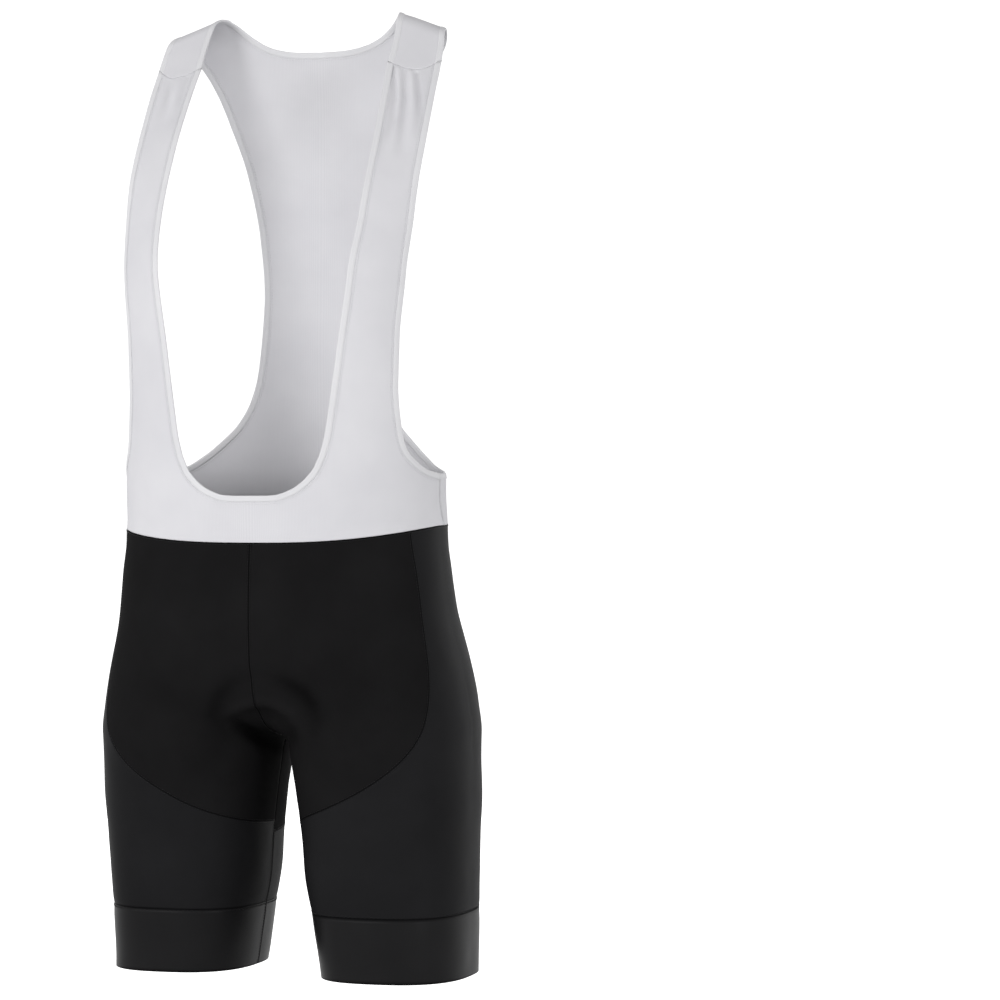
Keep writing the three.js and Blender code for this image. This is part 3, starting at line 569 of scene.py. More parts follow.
def shorts_grids(side):
    """One half of the shorts: three blocks side by side down to the corner row, then one ring."""
    corner_front, corner_back = FRONT_SEAM("around", CORNER_ROW), BACK_SEAM("around", CORNER_ROW)
    stretch = (UPPER_CELLS - YOKE_CELLS) / TO_CROTCH_CELLS

    def dip(around):
        in_front = around < corner_front
        share = np.where(in_front, 1 - around / corner_front, (around - corner_back) / (1 - corner_back))
        yoke_row = np.where(in_front, YOKE_END_SIDE, YOKE_END_CENTRE)
        deep = yoke_row + (CROTCH_ROW - yoke_row) * stretch - CORNER_ROW
        turn = np.where(in_front, SEAM_TURN_FRONT, SEAM_TURN_BACK)
        return np.where(share > 0, deep * (1 - (1 - np.clip(share, 0, 1)) ** turn), 0)

    def upper_row(t, around):
        yoke_share = YOKE_CELLS / UPPER_CELLS
        behind = np.clip((around - corner_back) / (1 - corner_back), 0, 1)
        yoke_row = mix(YOKE_END_SIDE, YOKE_END_CENTRE, behind)
        lower = mix(yoke_row, CORNER_ROW + dip(around), (t - yoke_share) / (1 - yoke_share))
        return np.where(t <= yoke_share + 1e-9, t / yoke_share * yoke_row, lower)

    t = np.linspace(0, 1, UPPER_CELLS + 1)[:, None]
    guide = upper_row(t, (corner_front + corner_back) / 2)
    at_front, at_back = FRONT_SEAM("around", guide), BACK_SEAM("around", guide)

    def block(cells, low, high, corner_low, corner_high):
        s = np.linspace(0, 1, cells + 1)
        around = mix(low, high, s) + 0 * t
        return around, upper_row(t, mix(corner_low, corner_high, s)) + 0 * around

    blocks = [
        block(FRONT_CELLS, 0 * t, at_front, 0, corner_front),
        block(SIDE_CELLS, at_front, at_back, corner_front, corner_back),
        block(BACK_CELLS, at_back, 0 * t + 1, corner_back, 1),
    ]

    def place(around, row):
        return pool.add(shorts_point(side, around, row).reshape(*around.shape, 3))

    def last_row(first, *others):
        return np.concatenate([first[-1], *(other[-1, 1:] for other in others)])

    front, middle, back = (place(*b) for b in blocks)
    middle[:, 0] = front[:, -1]
    back[:, 0] = middle[:, -1]
    smooth_line(np.concatenate([front[:, -1], front[-1, -2::-1]]))
    smooth_line(np.concatenate([back[:, 0], back[-1, 1:]]))
    around, row = (last_row(*(b[k] for b in blocks)) for k in (0, 1))

    def below(top, cells, low, high):
        s = np.linspace(0, 1, cells + 1)[:, None]
        at = around + 0 * s, mix(low, high, s) + 0 * around
        ids = place(*at)
        ids[0] = top
        return ids, at

    lower, lower_at = below(last_row(front, middle, back), LOWER_CELLS, row, BAND_ROW)
    band, band_at = below(lower[-1], BAND_CELLS, BAND_ROW, HEM_ROW)
    grids = zip((front, middle, back, lower, band), (*blocks, lower_at, band_at))
    made = [(ids, np.stack([u * WEAVE_AROUND, v * WEAVE_ROW], -1)) for ids, (u, v) in grids]
    return dict(zip(("front", "middle", "back", "lower", "band"), made))


def smooth_line(ids):
    """Takes the small bends out of a seam, with its points kept on the body form."""
    for _ in range(SEAM_ROUNDS):
        line = pool.points[ids]
        pool.points[ids[1:-1]] = to_body_form((line[:-2] + line[1:-1] + line[2:]) / 3, LATER_TURNS)


# Folds: soft troughs and ridges along lines on the cloth. Each point has its place, the fold's half
# width and its height there, above zero for a ridge and below zero for a trough.
FOLDS = [
    # Gathers below the left strap's seam
    [(105, -56, -61, 1.9, -1.6), (113, -72, -86, 2.5, -2.6), (117, -92, -118, 3.2, -1.8),
     (111, -122, -160, 4.5, -0.1)],
    [(111, -56, -63, 1.9, 1.4), (118, -77, -95, 2.9, 1.9), (122, -98, -128, 4.0, 0.8),
     (120, -112, -150, 4.5, 0.1)],
    [(117, -55, -63, 1.7, -1.6), (123, -73, -91, 2.3, -2.5), (127, -95, -126, 3.0, -1.9),
     (130, -112, -158, 4.5, -0.1)],
    [(124, -55, -66, 2.0, 1.4), (132, -74, -97, 2.9, 2.0), (137, -93, -128, 4.0, 1.2),
     (138, -107, -153, 5.0, 0.1)],
    [(130, -54, -68, 1.8, -1.5), (137, -69, -91, 2.3, -2.2), (141, -81, -114, 2.8, -1.2),
     (142, -93, -134, 4.0, -0.1)],
    # The right strap's are shorter
    [(-134, -52, -62, 2.2, -1.3), (-132, -62, -80, 2.8, -1.6), (-132, -80, -106, 4.2, -0.1)],
    [(-124, -54, -63, 2.4, 1.0), (-122, -66, -84, 3.2, 1.2), (-120, -84, -108, 4.4, 0.1)],
    [(-113, -56, -63, 2.2, -1.2), (-114, -70, -86, 3.0, -1.4), (-113, -92, -118, 4.6, -0.1)],
    # The pad's mound: its upper edge, the hollows round it and the crease below it
    [(-34, -156, -704, 4, 0.4), (-22, -155, -695, 4.5, 2.2), (-13, -157, -691, 4.5, 2.6),
     (6, -160, -686, 5, 2.8), (23, -161, -690, 5, 2.6), (37, -161, -698, 5, 1.8),
     (42, -156, -712, 5, 0.2)],
    [(20, -171, -664, 6, -0.3), (39, -171, -671, 6, -2.8), (52, -171, -679, 6.5, -3.8),
     (60, -169, -689, 6.5, -3.6), (63, -166, -702, 7, -2.2), (56, -160, -720, 8, -0.3)],
    [(0, -171, -664, 6, -0.3), (-20, -168, -670, 6, -1.2), (-38, -163, -684, 6, -2.2),
     (-44, -158, -698, 6, -2.4), (-40, -148, -714, 6, -1.2), (-32, -136, -726, 6, -0.2)],
    [(-28, -148, -704, 4, -1.0), (-24, -138, -712, 4.5, -3.6), (-18, -122, -720, 5, -5.2),
     (-12, -97, -730, 5, -4.8), (-9, -76, -736, 5, -2.6), (-8, -55, -740, 4, -0.2)],
    [(8, -148, -703, 9, 0.4), (12, -136, -714, 9, 1.8), (14, -114, -724, 9, 0.3)],
    [(42, -154, -712, 6, -0.3), (34, -144, -720, 6, -1.8), (26, -122, -728, 6, -1.6),
     (18, -92, -736, 6, -0.2)],
    # From the groins up towards the hips
    [(72, -166, -704, 7, -0.2), (92, -170, -690, 9, -0.9), (116, -170, -672, 11, -0.6),
     (136, -160, -652, 12, -0.1)],
    [(-54, -164, -704, 7, -0.2), (-76, -169, -688, 9, -0.8), (-102, -170, -668, 11, -0.6),
     (-126, -162, -648, 12, -0.1)],
    [(40, -160, -742, 7, -0.2), (62, -162, -752, 8, -0.8), (88, -163, -760, 10, -0.4),
     (112, -160, -764, 12, -0.1)],
    [(-38, -152, -744, 7, -0.2), (-60, -158, -756, 8, -0.8), (-84, -159, -764, 10, -0.4),
     (-106, -156, -768, 12, -0.1)],
    # Behind: the seam pulled in between the lobes, the hollows round them, creases at the inner thighs
    [(0, 62, -648, 3.5, -0.4), (0, 52, -668, 4, -3.4), (0, 40, -686, 4.5, -4.4), (0, 13, -705, 5, -2.4)],
    [(12, 61, -656, 5, 0.4), (15, 56, -674, 6, 1.6), (16, 42, -692, 6, 1.2), (15, 26, -704, 6, 0.2)],
    [(-12, 61, -656, 5, 0.4), (-15, 56, -674, 6, 1.5), (-16, 42, -692, 6, 1.1), (-15, 26, -704, 6, 0.2)],
    [(14, 61, -652, 5, -0.4), (30, 63, -647, 6, -1.5), (56, 63, -642, 6, -1.7), (82, 61, -651, 6, -1.9),
     (99, 58, -670, 6, -2.0), (101, 56, -690, 6, -1.7), (90, 56, -708, 6, -1.6), (70, 51, -728, 6, -1.8),
     (46, 34, -741, 6, -1.5), (28, 13, -748, 6, -0.3)],
    [(-14, 61, -654, 5, -0.4), (-30, 63, -649, 6, -1.4), (-56, 63, -645, 6, -1.8),
     (-82, 61, -654, 6, -1.8), (-98, 58, -673, 6, -1.9), (-100, 56, -692, 6, -1.9),
     (-90, 56, -709, 6, -1.7), (-70, 51, -729, 6, -1.7), (-47, 34, -742, 6, -1.6),
     (-29, 13, -749, 6, -0.3)],
    [(66, 40, -744, 4, -0.2), (56, 36, -751, 4, -1.6), (41, 25, -757, 4, -2.2), (28, 6, -765, 5, -0.4)],
    [(58, 32, -768, 5, -0.1), (49, 27, -774, 4, -1.4), (36, 13, -781, 4, -1.7), (24, -12, -792, 6, -0.2)],
    [(-66, 40, -753, 4, -0.2), (-53, 36, -761, 4, -1.8), (-39, 24, -769, 4, -2.1),
     (-22, -5, -778, 6, -0.4)],
    [(-58, 34, -770, 4, -0.1), (-46, 30, -777, 4, -1.3), (-34, 16, -784, 4, -1.4),
     (-24, -8, -793, 6, -0.2)],
    # The lobes' lower edges
    [(98, 56, -682, 7, 0.3), (88, 58, -695, 8, 1.8), (68, 56, -712, 8, 2.4), (46, 42, -726, 8, 2.2),
     (30, 24, -734, 7, 0.4)],
    [(-96, 56, -684, 7, 0.3), (-87, 58, -697, 8, 1.9), (-68, 56, -713, 8, 2.3), (-46, 42, -727, 8, 2.1),
     (-30, 24, -735, 7, 0.4)],
    # The yoke's ends, pulled in beside their seams
    [(133, 5, -524, 4, -0.6), (133, 9, -546, 5.5, -2.8), (133, 15, -570, 5.5, -3.0),
     (132, 20, -588, 4.5, -1.2)],
    [(-135, 3, -524, 4, -0.6), (-135, 7, -544, 5.5, -2.9), (-135, 13, -568, 5.5, -2.8),
     (-134, 18, -588, 4.5, -1.1)],
    # Behind, faint drags from the yoke's ends and across the back of the thighs
    [(140, 22, -612, 8, -0.1), (118, 44, -632, 9, -0.6), (96, 56, -648, 10, -0.1)],
    [(-140, 22, -616, 8, -0.1), (-120, 44, -634, 9, -0.5), (-98, 56, -650, 10, -0.1)],
    [(70, 36, -800, 9, -0.1), (100, 40, -810, 10, -0.6), (134, 34, -812, 12, -0.1)],
    [(-74, 46, -796, 9, -0.1), (-104, 52, -806, 10, -0.6), (-138, 46, -810, 12, -0.1)],
    # Behind, on the bib: soft drags up from the side seams
    [(128, -4, -452, 9, -0.1), (92, 12, -430, 11, -0.7), (58, 24, -398, 13, -0.1)],
    [(-130, -4, -456, 9, -0.1), (-96, 11, -436, 11, -0.6), (-60, 24, -404, 13, -0.1)],
]
FOLD_STEP = 2.0
UNEVEN = [(70, 0.55), (24, 0.2)]
BAND_SQUEEZE = -0.5
BAND_SQUEEZE_REACH = 0.12
RIM_BATCH = 64


def spaced(line, step):
    """Rows of numbers along a line, filled in so that its points lie about a step apart."""
    line = np.array(line, float)
    run = np.concatenate([[0], np.cumsum(np.linalg.norm(np.diff(line[:, :3], axis=0), axis=1))])
    at = np.linspace(0, run[-1], max(int(run[-1] / step), 2) + 1)
    return np.stack([np.interp(at, run, column) for column in line.T], -1)


def nearest_rows(points, rows):
    """For each point the distance to the nearest of some rows, and that row's number."""
    best, which = np.full(len(points), np.inf), np.zeros(len(points), int)
    for k, row in enumerate(rows):
        far = ((points - row[:3]) ** 2).sum(-1)
        closer = far < best
        best[closer], which[closer] = far[closer], k
    return np.sqrt(best), which


def fold_lift(points):
    """How far the folds move points of the cloth along their outward directions."""
    lift = np.zeros(len(points))
    low, high = points.min(0) - 30, points.max(0) + 30
    for fold in FOLDS:
        rows = spaced(fold, FOLD_STEP)
        if (rows[:, :3].max(0) < low).any() or (rows[:, :3].min(0) > high).any():
            continue
        far, which = nearest_rows(points, rows)
        wide, height = rows[which, 3], rows[which, 4]
        lift += height * np.exp(-((far / wide) ** 2) / 2)
    return lift


def uneven_lift(points):
    """A slight unevenness of the whole cloth."""
    lift = np.zeros(len(points))
    for size, height in UNEVEN:
        lift += height * np.array([noise.noise(Vector(p / size)) for p in points])
    return lift


def fine_mesh(name, sheet):
    """The sheet's cells, subdivided, on the body form: points, faces and weave coordinates."""
    mesh = bpy.data.meshes.new(name)
    mesh.from_pydata((pool.points[sheet.ids] * MM).tolist(), [], sheet.cells.tolist())
    layer = mesh.uv_layers.new(name="weave")
    layer.data.foreach_set("uv", (sheet.weave * MM).ravel())
    ob = bpy.data.objects.new(name, mesh)
    bpy.context.scene.collection.objects.link(ob)
    modifier = ob.modifiers.new("fine", "SUBSURF")
    modifier.levels = SUBDIVISIONS
    modifier.boundary_smooth = "PRESERVE_CORNERS"
    bpy.context.view_layer.update()
    fine = bpy.data.meshes.new_from_object(ob.evaluated_get(bpy.context.evaluated_depsgraph_get()))
    bpy.data.objects.remove(ob)
    bpy.data.meshes.remove(mesh)
    count = len(fine.vertices)
    points = np.zeros(count * 3)
    fine.vertices.foreach_get("co", points)
    faces = np.zeros(len(fine.loops), int)
    fine.loops.foreach_get("vertex_index", faces)
    weave = np.zeros(len(fine.loops) * 2)
    fine.uv_layers["weave"].data.foreach_get("uv", weave)
    bpy.data.meshes.remove(fine)
    points = points.reshape(-1, 3) / MM
    freedom = np.ones_like(points)
    freedom[abs(points[:, 0]) < 1e-3, 0] = 0
    return to_body_form(points, FINE_TURNS, freedom), faces.reshape(-1, 4), weave.reshape(-1, 4, 2)


def rim_edges(faces):
    """Edges that only one face has, each in that face's direction."""
    edges = np.stack([faces, np.roll(faces, -1, 1)], -1).reshape(-1, 2)
    keys, first, counts = np.unique(np.sort(edges, 1), axis=0, return_index=True, return_counts=True)
    return edges[first[counts == 1]]


def rim_distance(points, faces):
    """Roughly how far each point lies from the cut edge."""
    rim = points[np.unique(rim_edges(faces))]
    far = np.full(len(points), float(EDGE_REACH))
    for start in range(0, len(rim), RIM_BATCH):
        part = rim[start : start + RIM_BATCH]
        low, high = part.min(0) - EDGE_REACH, part.max(0) + EDGE_REACH
        near = np.where(((points > low) & (points < high)).all(1))[0]
        if len(near):
            span = np.linalg.norm(points[near, None] - part[None], axis=2).min(1)
            far[near] = np.minimum(far[near], span)
    return far


def in_frame(points):
    """Points of the cut, which is made round the body's own axis, in the part's frame."""
    return points - (0, RIDGE_BACK, 0)


SURFACES = {}


def shell(name, sheet, kind, material):
    """A thin closed shell of cloth on a sheet's form, with its folds."""
    thick, on_body = SHELL[kind], kind != "bib"
    if on_body:
        points, faces, weave = fine_mesh(name, sheet)
        slope = field_slope(points)
        normals = slope / np.linalg.norm(slope, axis=1)[:, None]
    else:
        points, faces, weave = pool.points[sheet.ids], sheet.cells, sheet.weave * MM
        normals = sheet.normals()
    points = in_frame(points)
    far = rim_distance(points, faces)
    lift = fold_lift(points)
    # Painted shade and painted light: the colour is darker in the folds' hollows and lighter on their
    # ridges, by their depth and height
    shade = np.clip(1 + HOLLOW_SHADE[kind] * lift, LEAST_SHADE, MOST_SHADE)
    lift += uneven_lift(points) * smooth(far, 0, EDGE_EASE)
    row = weave.reshape(-1, 2)[:, 1] / MM / WEAVE_ROW
    if on_body:
        rows = np.zeros(len(points))
        rows[faces.ravel()] = row
        lift += BAND_SQUEEZE * np.exp(-(((rows - BAND_ROW) / BAND_SQUEEZE_REACH) ** 2))
    points = points + normals * lift[:, None]
    SURFACES[name] = (points + normals * thick / 2, faces)
    outer, inner = points + normals * thick / 2, points - normals * thick / 2
    count = len(points)
    rim = rim_edges(faces)
    walls = np.stack([rim[:, 1], rim[:, 0], rim[:, 0] + count, rim[:, 1] + count], -1)
    quads = np.vstack([faces, faces[:, ::-1] + count, walls])
    coords = {}
    for corner, place in zip(faces.ravel(), weave.reshape(-1, 2)):
        coords[corner] = place
    wall_weave = np.array([[coords[a], coords[b], coords[b], coords[a]] for b, a in rim])
    ob = mesh_object(name, np.vstack([outer, inner]), quads, material)
    layer = ob.data.uv_layers.new(name="weave")
    layer.data.foreach_set("uv", np.vstack([weave, weave[:, ::-1], wall_weave]).ravel())
    # The edge attribute darkens the seams in the material; the shade attribute carries the folds' painted
    # shade and painted light
    for label, values in (("edge", far), ("shade", shade)):
        layer = ob.data.attributes.new(label, "FLOAT", "POINT")
        layer.data.foreach_set("value", np.concatenate([values, values]).astype(np.float32))
    return ob


def mesh_object(name, points, faces, material):
    mesh = bpy.data.meshes.new(name)
    mesh.from_pydata((np.asarray(points) * MM).tolist(), [], [list(map(int, f)) for f in faces])
    mesh.polygons.foreach_set("use_smooth", [True] * len(mesh.polygons))
    mesh.materials.append(material)
    mesh.update()
    ob = bpy.data.objects.new(name, mesh)
    bpy.context.scene.collection.objects.link(ob)
    return ob


# Materials
def node(tree, kind, **values):
    made = tree.nodes.new(kind)
    for key, value in values.items():
        if key in made.inputs:
            made.inputs[key].default_value = value
        else:
            setattr(made, key, value)
    return made


def feed(tree, socket, term):
    """Sets a socket to a number or a colour, or links another socket to it."""
    if isinstance(term, (float, tuple)):
        socket.default_value = term
    else:
        tree.links.new(term, socket)


def ramp(tree, source, low, high, to_low, to_high):
    """A socket's value taken from one range to another."""
    ends = {"From Min": low, "From Max": high, "To Min": to_low, "To Max": to_high}
    made = node(tree, "ShaderNodeMapRange", **ends)
    feed(tree, made.inputs["Value"], source)
    return made.outputs["Result"]


def maths(tree, operation, *terms):
    made = node(tree, "ShaderNodeMath", operation=operation)
    for socket, term in zip(made.inputs, terms):
        feed(tree, socket, term)
    return made.outputs[0]


def mixed(tree, factor, a, b, blend_type="MIX"):
    """Two colours mixed."""
    made = node(tree, "ShaderNodeMix", data_type="RGBA", blend_type=blend_type)
    for key, term in (("Factor", factor), ("A", a), ("B", b)):
        feed(tree, made.inputs[key], term)
    return made.outputs["Result"]


def new_material(name, finish):
    """A material with the shader's own sockets set, its nodes and those sockets."""
    material = bpy.data.materials.new(name)
    material.use_nodes = True
    sockets = material.node_tree.nodes["Principled BSDF"].inputs
    for key, value in finish.items():
        sockets[key].default_value = value
    return material, material.node_tree, sockets


def cloth_material(name, dark, light, rough, specular, sheen, sheen_rough, wale, course, depth, seam):
    """Knit cloth: wales and courses by the weave, a faint unevenness of colour, painted shade in the
    folds' hollows and painted light on their ridges.
    """
    finish = {
        "Specular IOR Level": specular,
        "Sheen Weight": sheen,
        "Sheen Roughness": sheen_rough,
        "Sheen Tint": (1, 1, 1, 1),
    }
    material, tree, sockets = new_material(name, finish)
    place = node(tree, "ShaderNodeTexCoord").outputs
    patches = node(tree, "ShaderNodeTexNoise", Scale=14.0, Detail=3.0, Roughness=0.55)
    feed(tree, patches.inputs["Vector"], place["Object"])
    grain = node(tree, "ShaderNodeTexNoise", Scale=900.0, Detail=2.0, Roughness=0.6)
    feed(tree, grain.inputs["Vector"], place["Object"])
    waves = []
    for direction, pitch in (("X", wale), ("Y", course)):
        wave = node(tree, "ShaderNodeTexWave", Distortion=0.35, Detail=1.0, bands_direction=direction)
        wave.inputs["Scale"].default_value = WAVE_SCALE / (pitch * MM)
        wave.inputs["Detail Scale"].default_value = 2.0
        feed(tree, wave.inputs["Vector"], place["UV"])
        waves.append(wave.outputs["Fac"])
    loops = maths(tree, "MULTIPLY", *waves)
    tone = maths(tree, "MULTIPLY_ADD", loops, 0.45, patches.outputs["Fac"])
    colour = mixed(tree, ramp(tree, tone, 0.35, 1.0, 0.0, 1.0), (*dark, 1), (*light, 1))
    edge = node(tree, "ShaderNodeAttribute", attribute_name="edge")
    shade = ramp(tree, edge.outputs["Fac"], 0.0, SEAM_DARK_REACH, seam, 1.0)
    # The folds' painted shade and painted light, read from the shade attribute
    if name != SMOOTH_CLOTH:
        hollow = node(tree, "ShaderNodeAttribute", attribute_name="shade")
        shade = maths(tree, "MULTIPLY", shade, hollow.outputs["Fac"])
    feed(tree, sockets["Base Color"], mixed(tree, 1.0, colour, shade, "MULTIPLY"))
    gloss = ramp(tree, patches.outputs["Fac"], 0.0, 1.0, rough - 0.05, rough + 0.07)
    feed(tree, sockets["Roughness"], gloss)
    bump = node(tree, "ShaderNodeBump", Strength=0.5, Distance=depth * MM)
    feed(tree, bump.inputs["Height"], maths(tree, "MULTIPLY_ADD", grain.outputs["Fac"], 0.5, loops))
    feed(tree, sockets["Normal"], bump.outputs["Normal"])
    return material


def thread_material(name, colour, rough):
    """Sewing thread: twisted strands seen as fine slanting bands."""
    material, tree, sockets = new_material(name, {"Roughness": rough, "Specular IOR Level": 0.3})
    wave = node(tree, "ShaderNodeTexWave", Scale=700.0, Distortion=1.0, bands_direction="DIAGONAL")
    feed(tree, wave.inputs["Vector"], node(tree, "ShaderNodeTexCoord").outputs["Object"])
    strands = mixed(tree, wave.outputs["Fac"], (*(0.75 * c for c in colour), 1), (*colour, 1))
    feed(tree, sockets["Base Color"], strands)
    return material


# A wave texture at this scale repeats once a metre
WAVE_SCALE = 0.314
# The narrow elastic has no folds, and so none of their painted shade
SMOOTH_CLOTH = "bib_elastic"
# Each cloth's dark and light colour; roughness, specular level, sheen and its roughness; its knit's pitch
# across and along and its depth, in millimetres; and the share of its colour that is left at a cut edge
CLOTHS = {
    "bib_knit": (
        (0.66, 0.655, 0.685), (0.735, 0.73, 0.755), 0.85, 0.2, 0.1, 0.5, 1.3, 1.1, 0.14, 0.97),
    "bib_elastic": (
        (0.7, 0.698, 0.72), (0.77, 0.768, 0.785), 0.75, 0.25, 0.1, 0.5, 1.0, 1.6, 0.15, 1.0),
    "matt_jersey": (
        (0.0086, 0.0083, 0.0087), (0.0134, 0.0131, 0.0136), 0.68, 0.012, 0.0, 0.5, 1.1, 0.9, 0.1, 0.5),
    # sheen_jersey's colours are lighter than matt_jersey's: partly its own tone, partly painted sheen
    "sheen_jersey": (
        (0.0108, 0.0107, 0.0115), (0.0158, 0.0157, 0.0169), 0.48, 0.028, 0.0, 0.4, 0.9, 0.8, 0.06, 0.5),
    "leg_elastic": (
        (0.0095, 0.0093, 0.0099), (0.0135, 0.0133, 0.0141), 0.36, 0.06, 0.0, 0.4, 1.1, 0.9, 0.05, 0.6),
}
CLOTH = {name: cloth_material(name, *row) for name, row in CLOTHS.items()}
WHITE_THREAD = thread_material("white_thread", (0.74, 0.74, 0.76), 0.6)
BLACK_THREAD = thread_material("black_thread", (0.012, 0.012, 0.0135), 0.5)


def finish_piece(ob, node_name):
    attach(ob, "root")
    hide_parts(node_name)


# The cut
(front_ids, front_weave), (back_ids, back_weave) = bib_grids()
front_right, back_right = pool.mirrored(front_ids), pool.mirrored(back_ids)
flipped = np.array([-1, 1])
BIB_FRONT = Sheet((front_ids, front_weave, False), (front_right, front_weave * flipped, True))
BIB_BACK = Sheet((back_ids, back_weave, False), (back_right, back_weave * flipped, True))

halves = {"left": shorts_grids(1), "right": shorts_grids(-1)}
left_back, right_back = halves["left"]["back"][0], halves["right"]["back"][0]
right_back[: YOKE_CELLS + 1, -1] = left_back[: YOKE_CELLS + 1, -1]

SHEETS = {}
yoke_grids = []
for name, half in halves.items():
    left = name == "left"

    def grid(key, rows=slice(None)):
        ids, weave = half[key]
        return ids[rows], weave[rows] * (1 if left else -1, 1), left

    SHEETS[f"shorts_front_{name}"] = (Sheet(grid("front")), "shorts", "matt_jersey")
    SHEETS[f"shorts_side_{name}"] = (Sheet(grid("middle"), grid("lower")), "shorts", "sheen_jersey")
    SHEETS[f"shorts_back_{name}"] = (Sheet(grid("back", slice(YOKE_CELLS, None))), "shorts", "matt_jersey")
    SHEETS[f"leg_band_{name}"] = (Sheet(grid("band")), "band", "leg_elastic")
    yoke_grids.append(grid("back", slice(0, YOKE_CELLS + 1)))
SHEETS["back_yoke"] = (Sheet(*yoke_grids), "shorts", "sheen_jersey")
for sheet, _, _ in SHEETS.values():
    sheet.settle()
SHEETS["bib_front"] = (BIB_FRONT, "bib", "bib_knit")
SHEETS["bib_back"] = (BIB_BACK, "bib", "bib_knit")

pieces = {}
for name, (sheet, kind, slot) in SHEETS.items():
    pieces[name] = shell(name + "_cloth", sheet, kind, CLOTH[slot])
    finish_piece(pieces[name], name)

# Seams, tapes and stitching
SEAM_STEPS = 8
TAPE_SIDES = 14
TAPE_EDGE_POWER = 0.55
TAPE_FACE_POWER = 0.7
STITCH_SIDES = 5
STITCH_PROFILE = [(-0.5, 0.1), (-0.38, 0.75), (0, 1), (0.38, 0.75), (0.5, 0.1)]
BESIDE_STEP = 3.0
NEAR_CLOTH = 12
WAIST_STITCH_DROP = 1.6


def unit(v):
    return v / np.maximum(np.linalg.norm(v, axis=-1, keepdims=True), 1e-9)


def tape(name, sheet, ids):
    """A rounded elastic along a cut edge, which it grips a little."""
    outwards = sheet.outwards()
    inner = pool.points[ids]
    outs = []
    for i, point in enumerate(ids):
        if 0 < i < len(ids) - 1:
            outs.append(outwards[point] * TAPE_WIDTH)
            continue
        following = ids[1] if i == 0 else ids[i - 1]
        near = [pair for pair in sheet.ids[sheet.rim] if point in pair]
        other = [p for pair in near for p in pair if p not in (point, following)][0]
        run = unit(pool.points[following] - pool.points[point])
        out = pool.points[point] - pool.points[other]
        outs.append(out * TAPE_WIDTH / np.linalg.norm(out - run * (out @ run)))
    outer = inner + np.array(outs)
    normal = unit(sheet.normals()[np.searchsorted(sheet.ids, ids)])
    across = outer - inner
    width = np.linalg.norm(across, axis=1, keepdims=True)
    across = across / width
    centre = (inner + outer) / 2 - across * TAPE_OVERLAP / 2
    half = (width + TAPE_OVERLAP) / 2
    rings = []
    for turn in np.linspace(0, 2 * math.pi, TAPE_SIDES, endpoint=False):
        side = np.sign(math.cos(turn)) * abs(math.cos(turn)) ** TAPE_EDGE_POWER
        up = np.sign(math.sin(turn)) * abs(math.sin(turn)) ** TAPE_FACE_POWER
        rings.append(centre + across * half * side + normal * TAPE_THICK / 2 * up)
    rings = in_frame(np.array(rings).transpose(1, 0, 2))
    number = np.arange(len(ids) * TAPE_SIDES).reshape(-1, TAPE_SIDES)
    follow = np.roll(number, -1, 1)
    faces = np.stack([number[:-1], number[1:], follow[1:], follow[:-1]], -1).reshape(-1, 4).tolist()
    faces += [number[0].tolist(), number[-1, ::-1].tolist()]
    ob = mesh_object(name + "_elastic", rings.reshape(-1, 3), faces, CLOTH["bib_elastic"])
    along = np.concatenate([[0], np.cumsum(np.linalg.norm(np.diff(centre, axis=0), axis=1))])
    layer = ob.data.uv_layers.new(name="weave")
    coords = []
    for face in faces:
        for corner in face:
            coords += [along[corner // TAPE_SIDES] * MM, (corner % TAPE_SIDES) * MM]
    layer.data.foreach_set("uv", coords)
    finish_piece(ob, name)
    return inner, -across


front_corner, back_corner = ARMHOLE_CORNER * FINE, SIDE_SEAM_SECTIONS * FINE
steps_to_neck = int(sum(row[0] for row in BACK_SECTIONS[:NECK_SECTION])) * FINE
neck_front = np.concatenate([front_ids[::-1, 0], front_right[1:, 0]])
neck_back = np.concatenate([back_right[steps_to_neck:, 0][::-1], back_ids[steps_to_neck + 1 :, 0]])
tape_lines = [
    tape("neck_tape_front", BIB_FRONT, neck_front),
    tape("neck_tape_back", BIB_BACK, neck_back),
    tape("armhole_tape_front_left", BIB_FRONT, front_ids[front_corner:, -1]),
    tape("armhole_tape_front_right", BIB_FRONT, front_right[front_corner:, -1][::-1]),
    tape("armhole_tape_back_left", BIB_BACK, back_ids[back_corner:, -1][::-1]),
    tape("armhole_tape_back_right", BIB_BACK, back_right[back_corner:, -1]),
]


def surface_of(*names):
    """A search tree over the outsides of some pieces."""
    points, faces, first = [], [], 0
    for name in names:
        p, f = SURFACES[name + "_cloth"]
        points.append(p)
        faces.append(f + first)
        first += len(p)
    return BVHTree.FromPolygons(np.vstack(points).tolist(), np.vstack(faces).tolist())


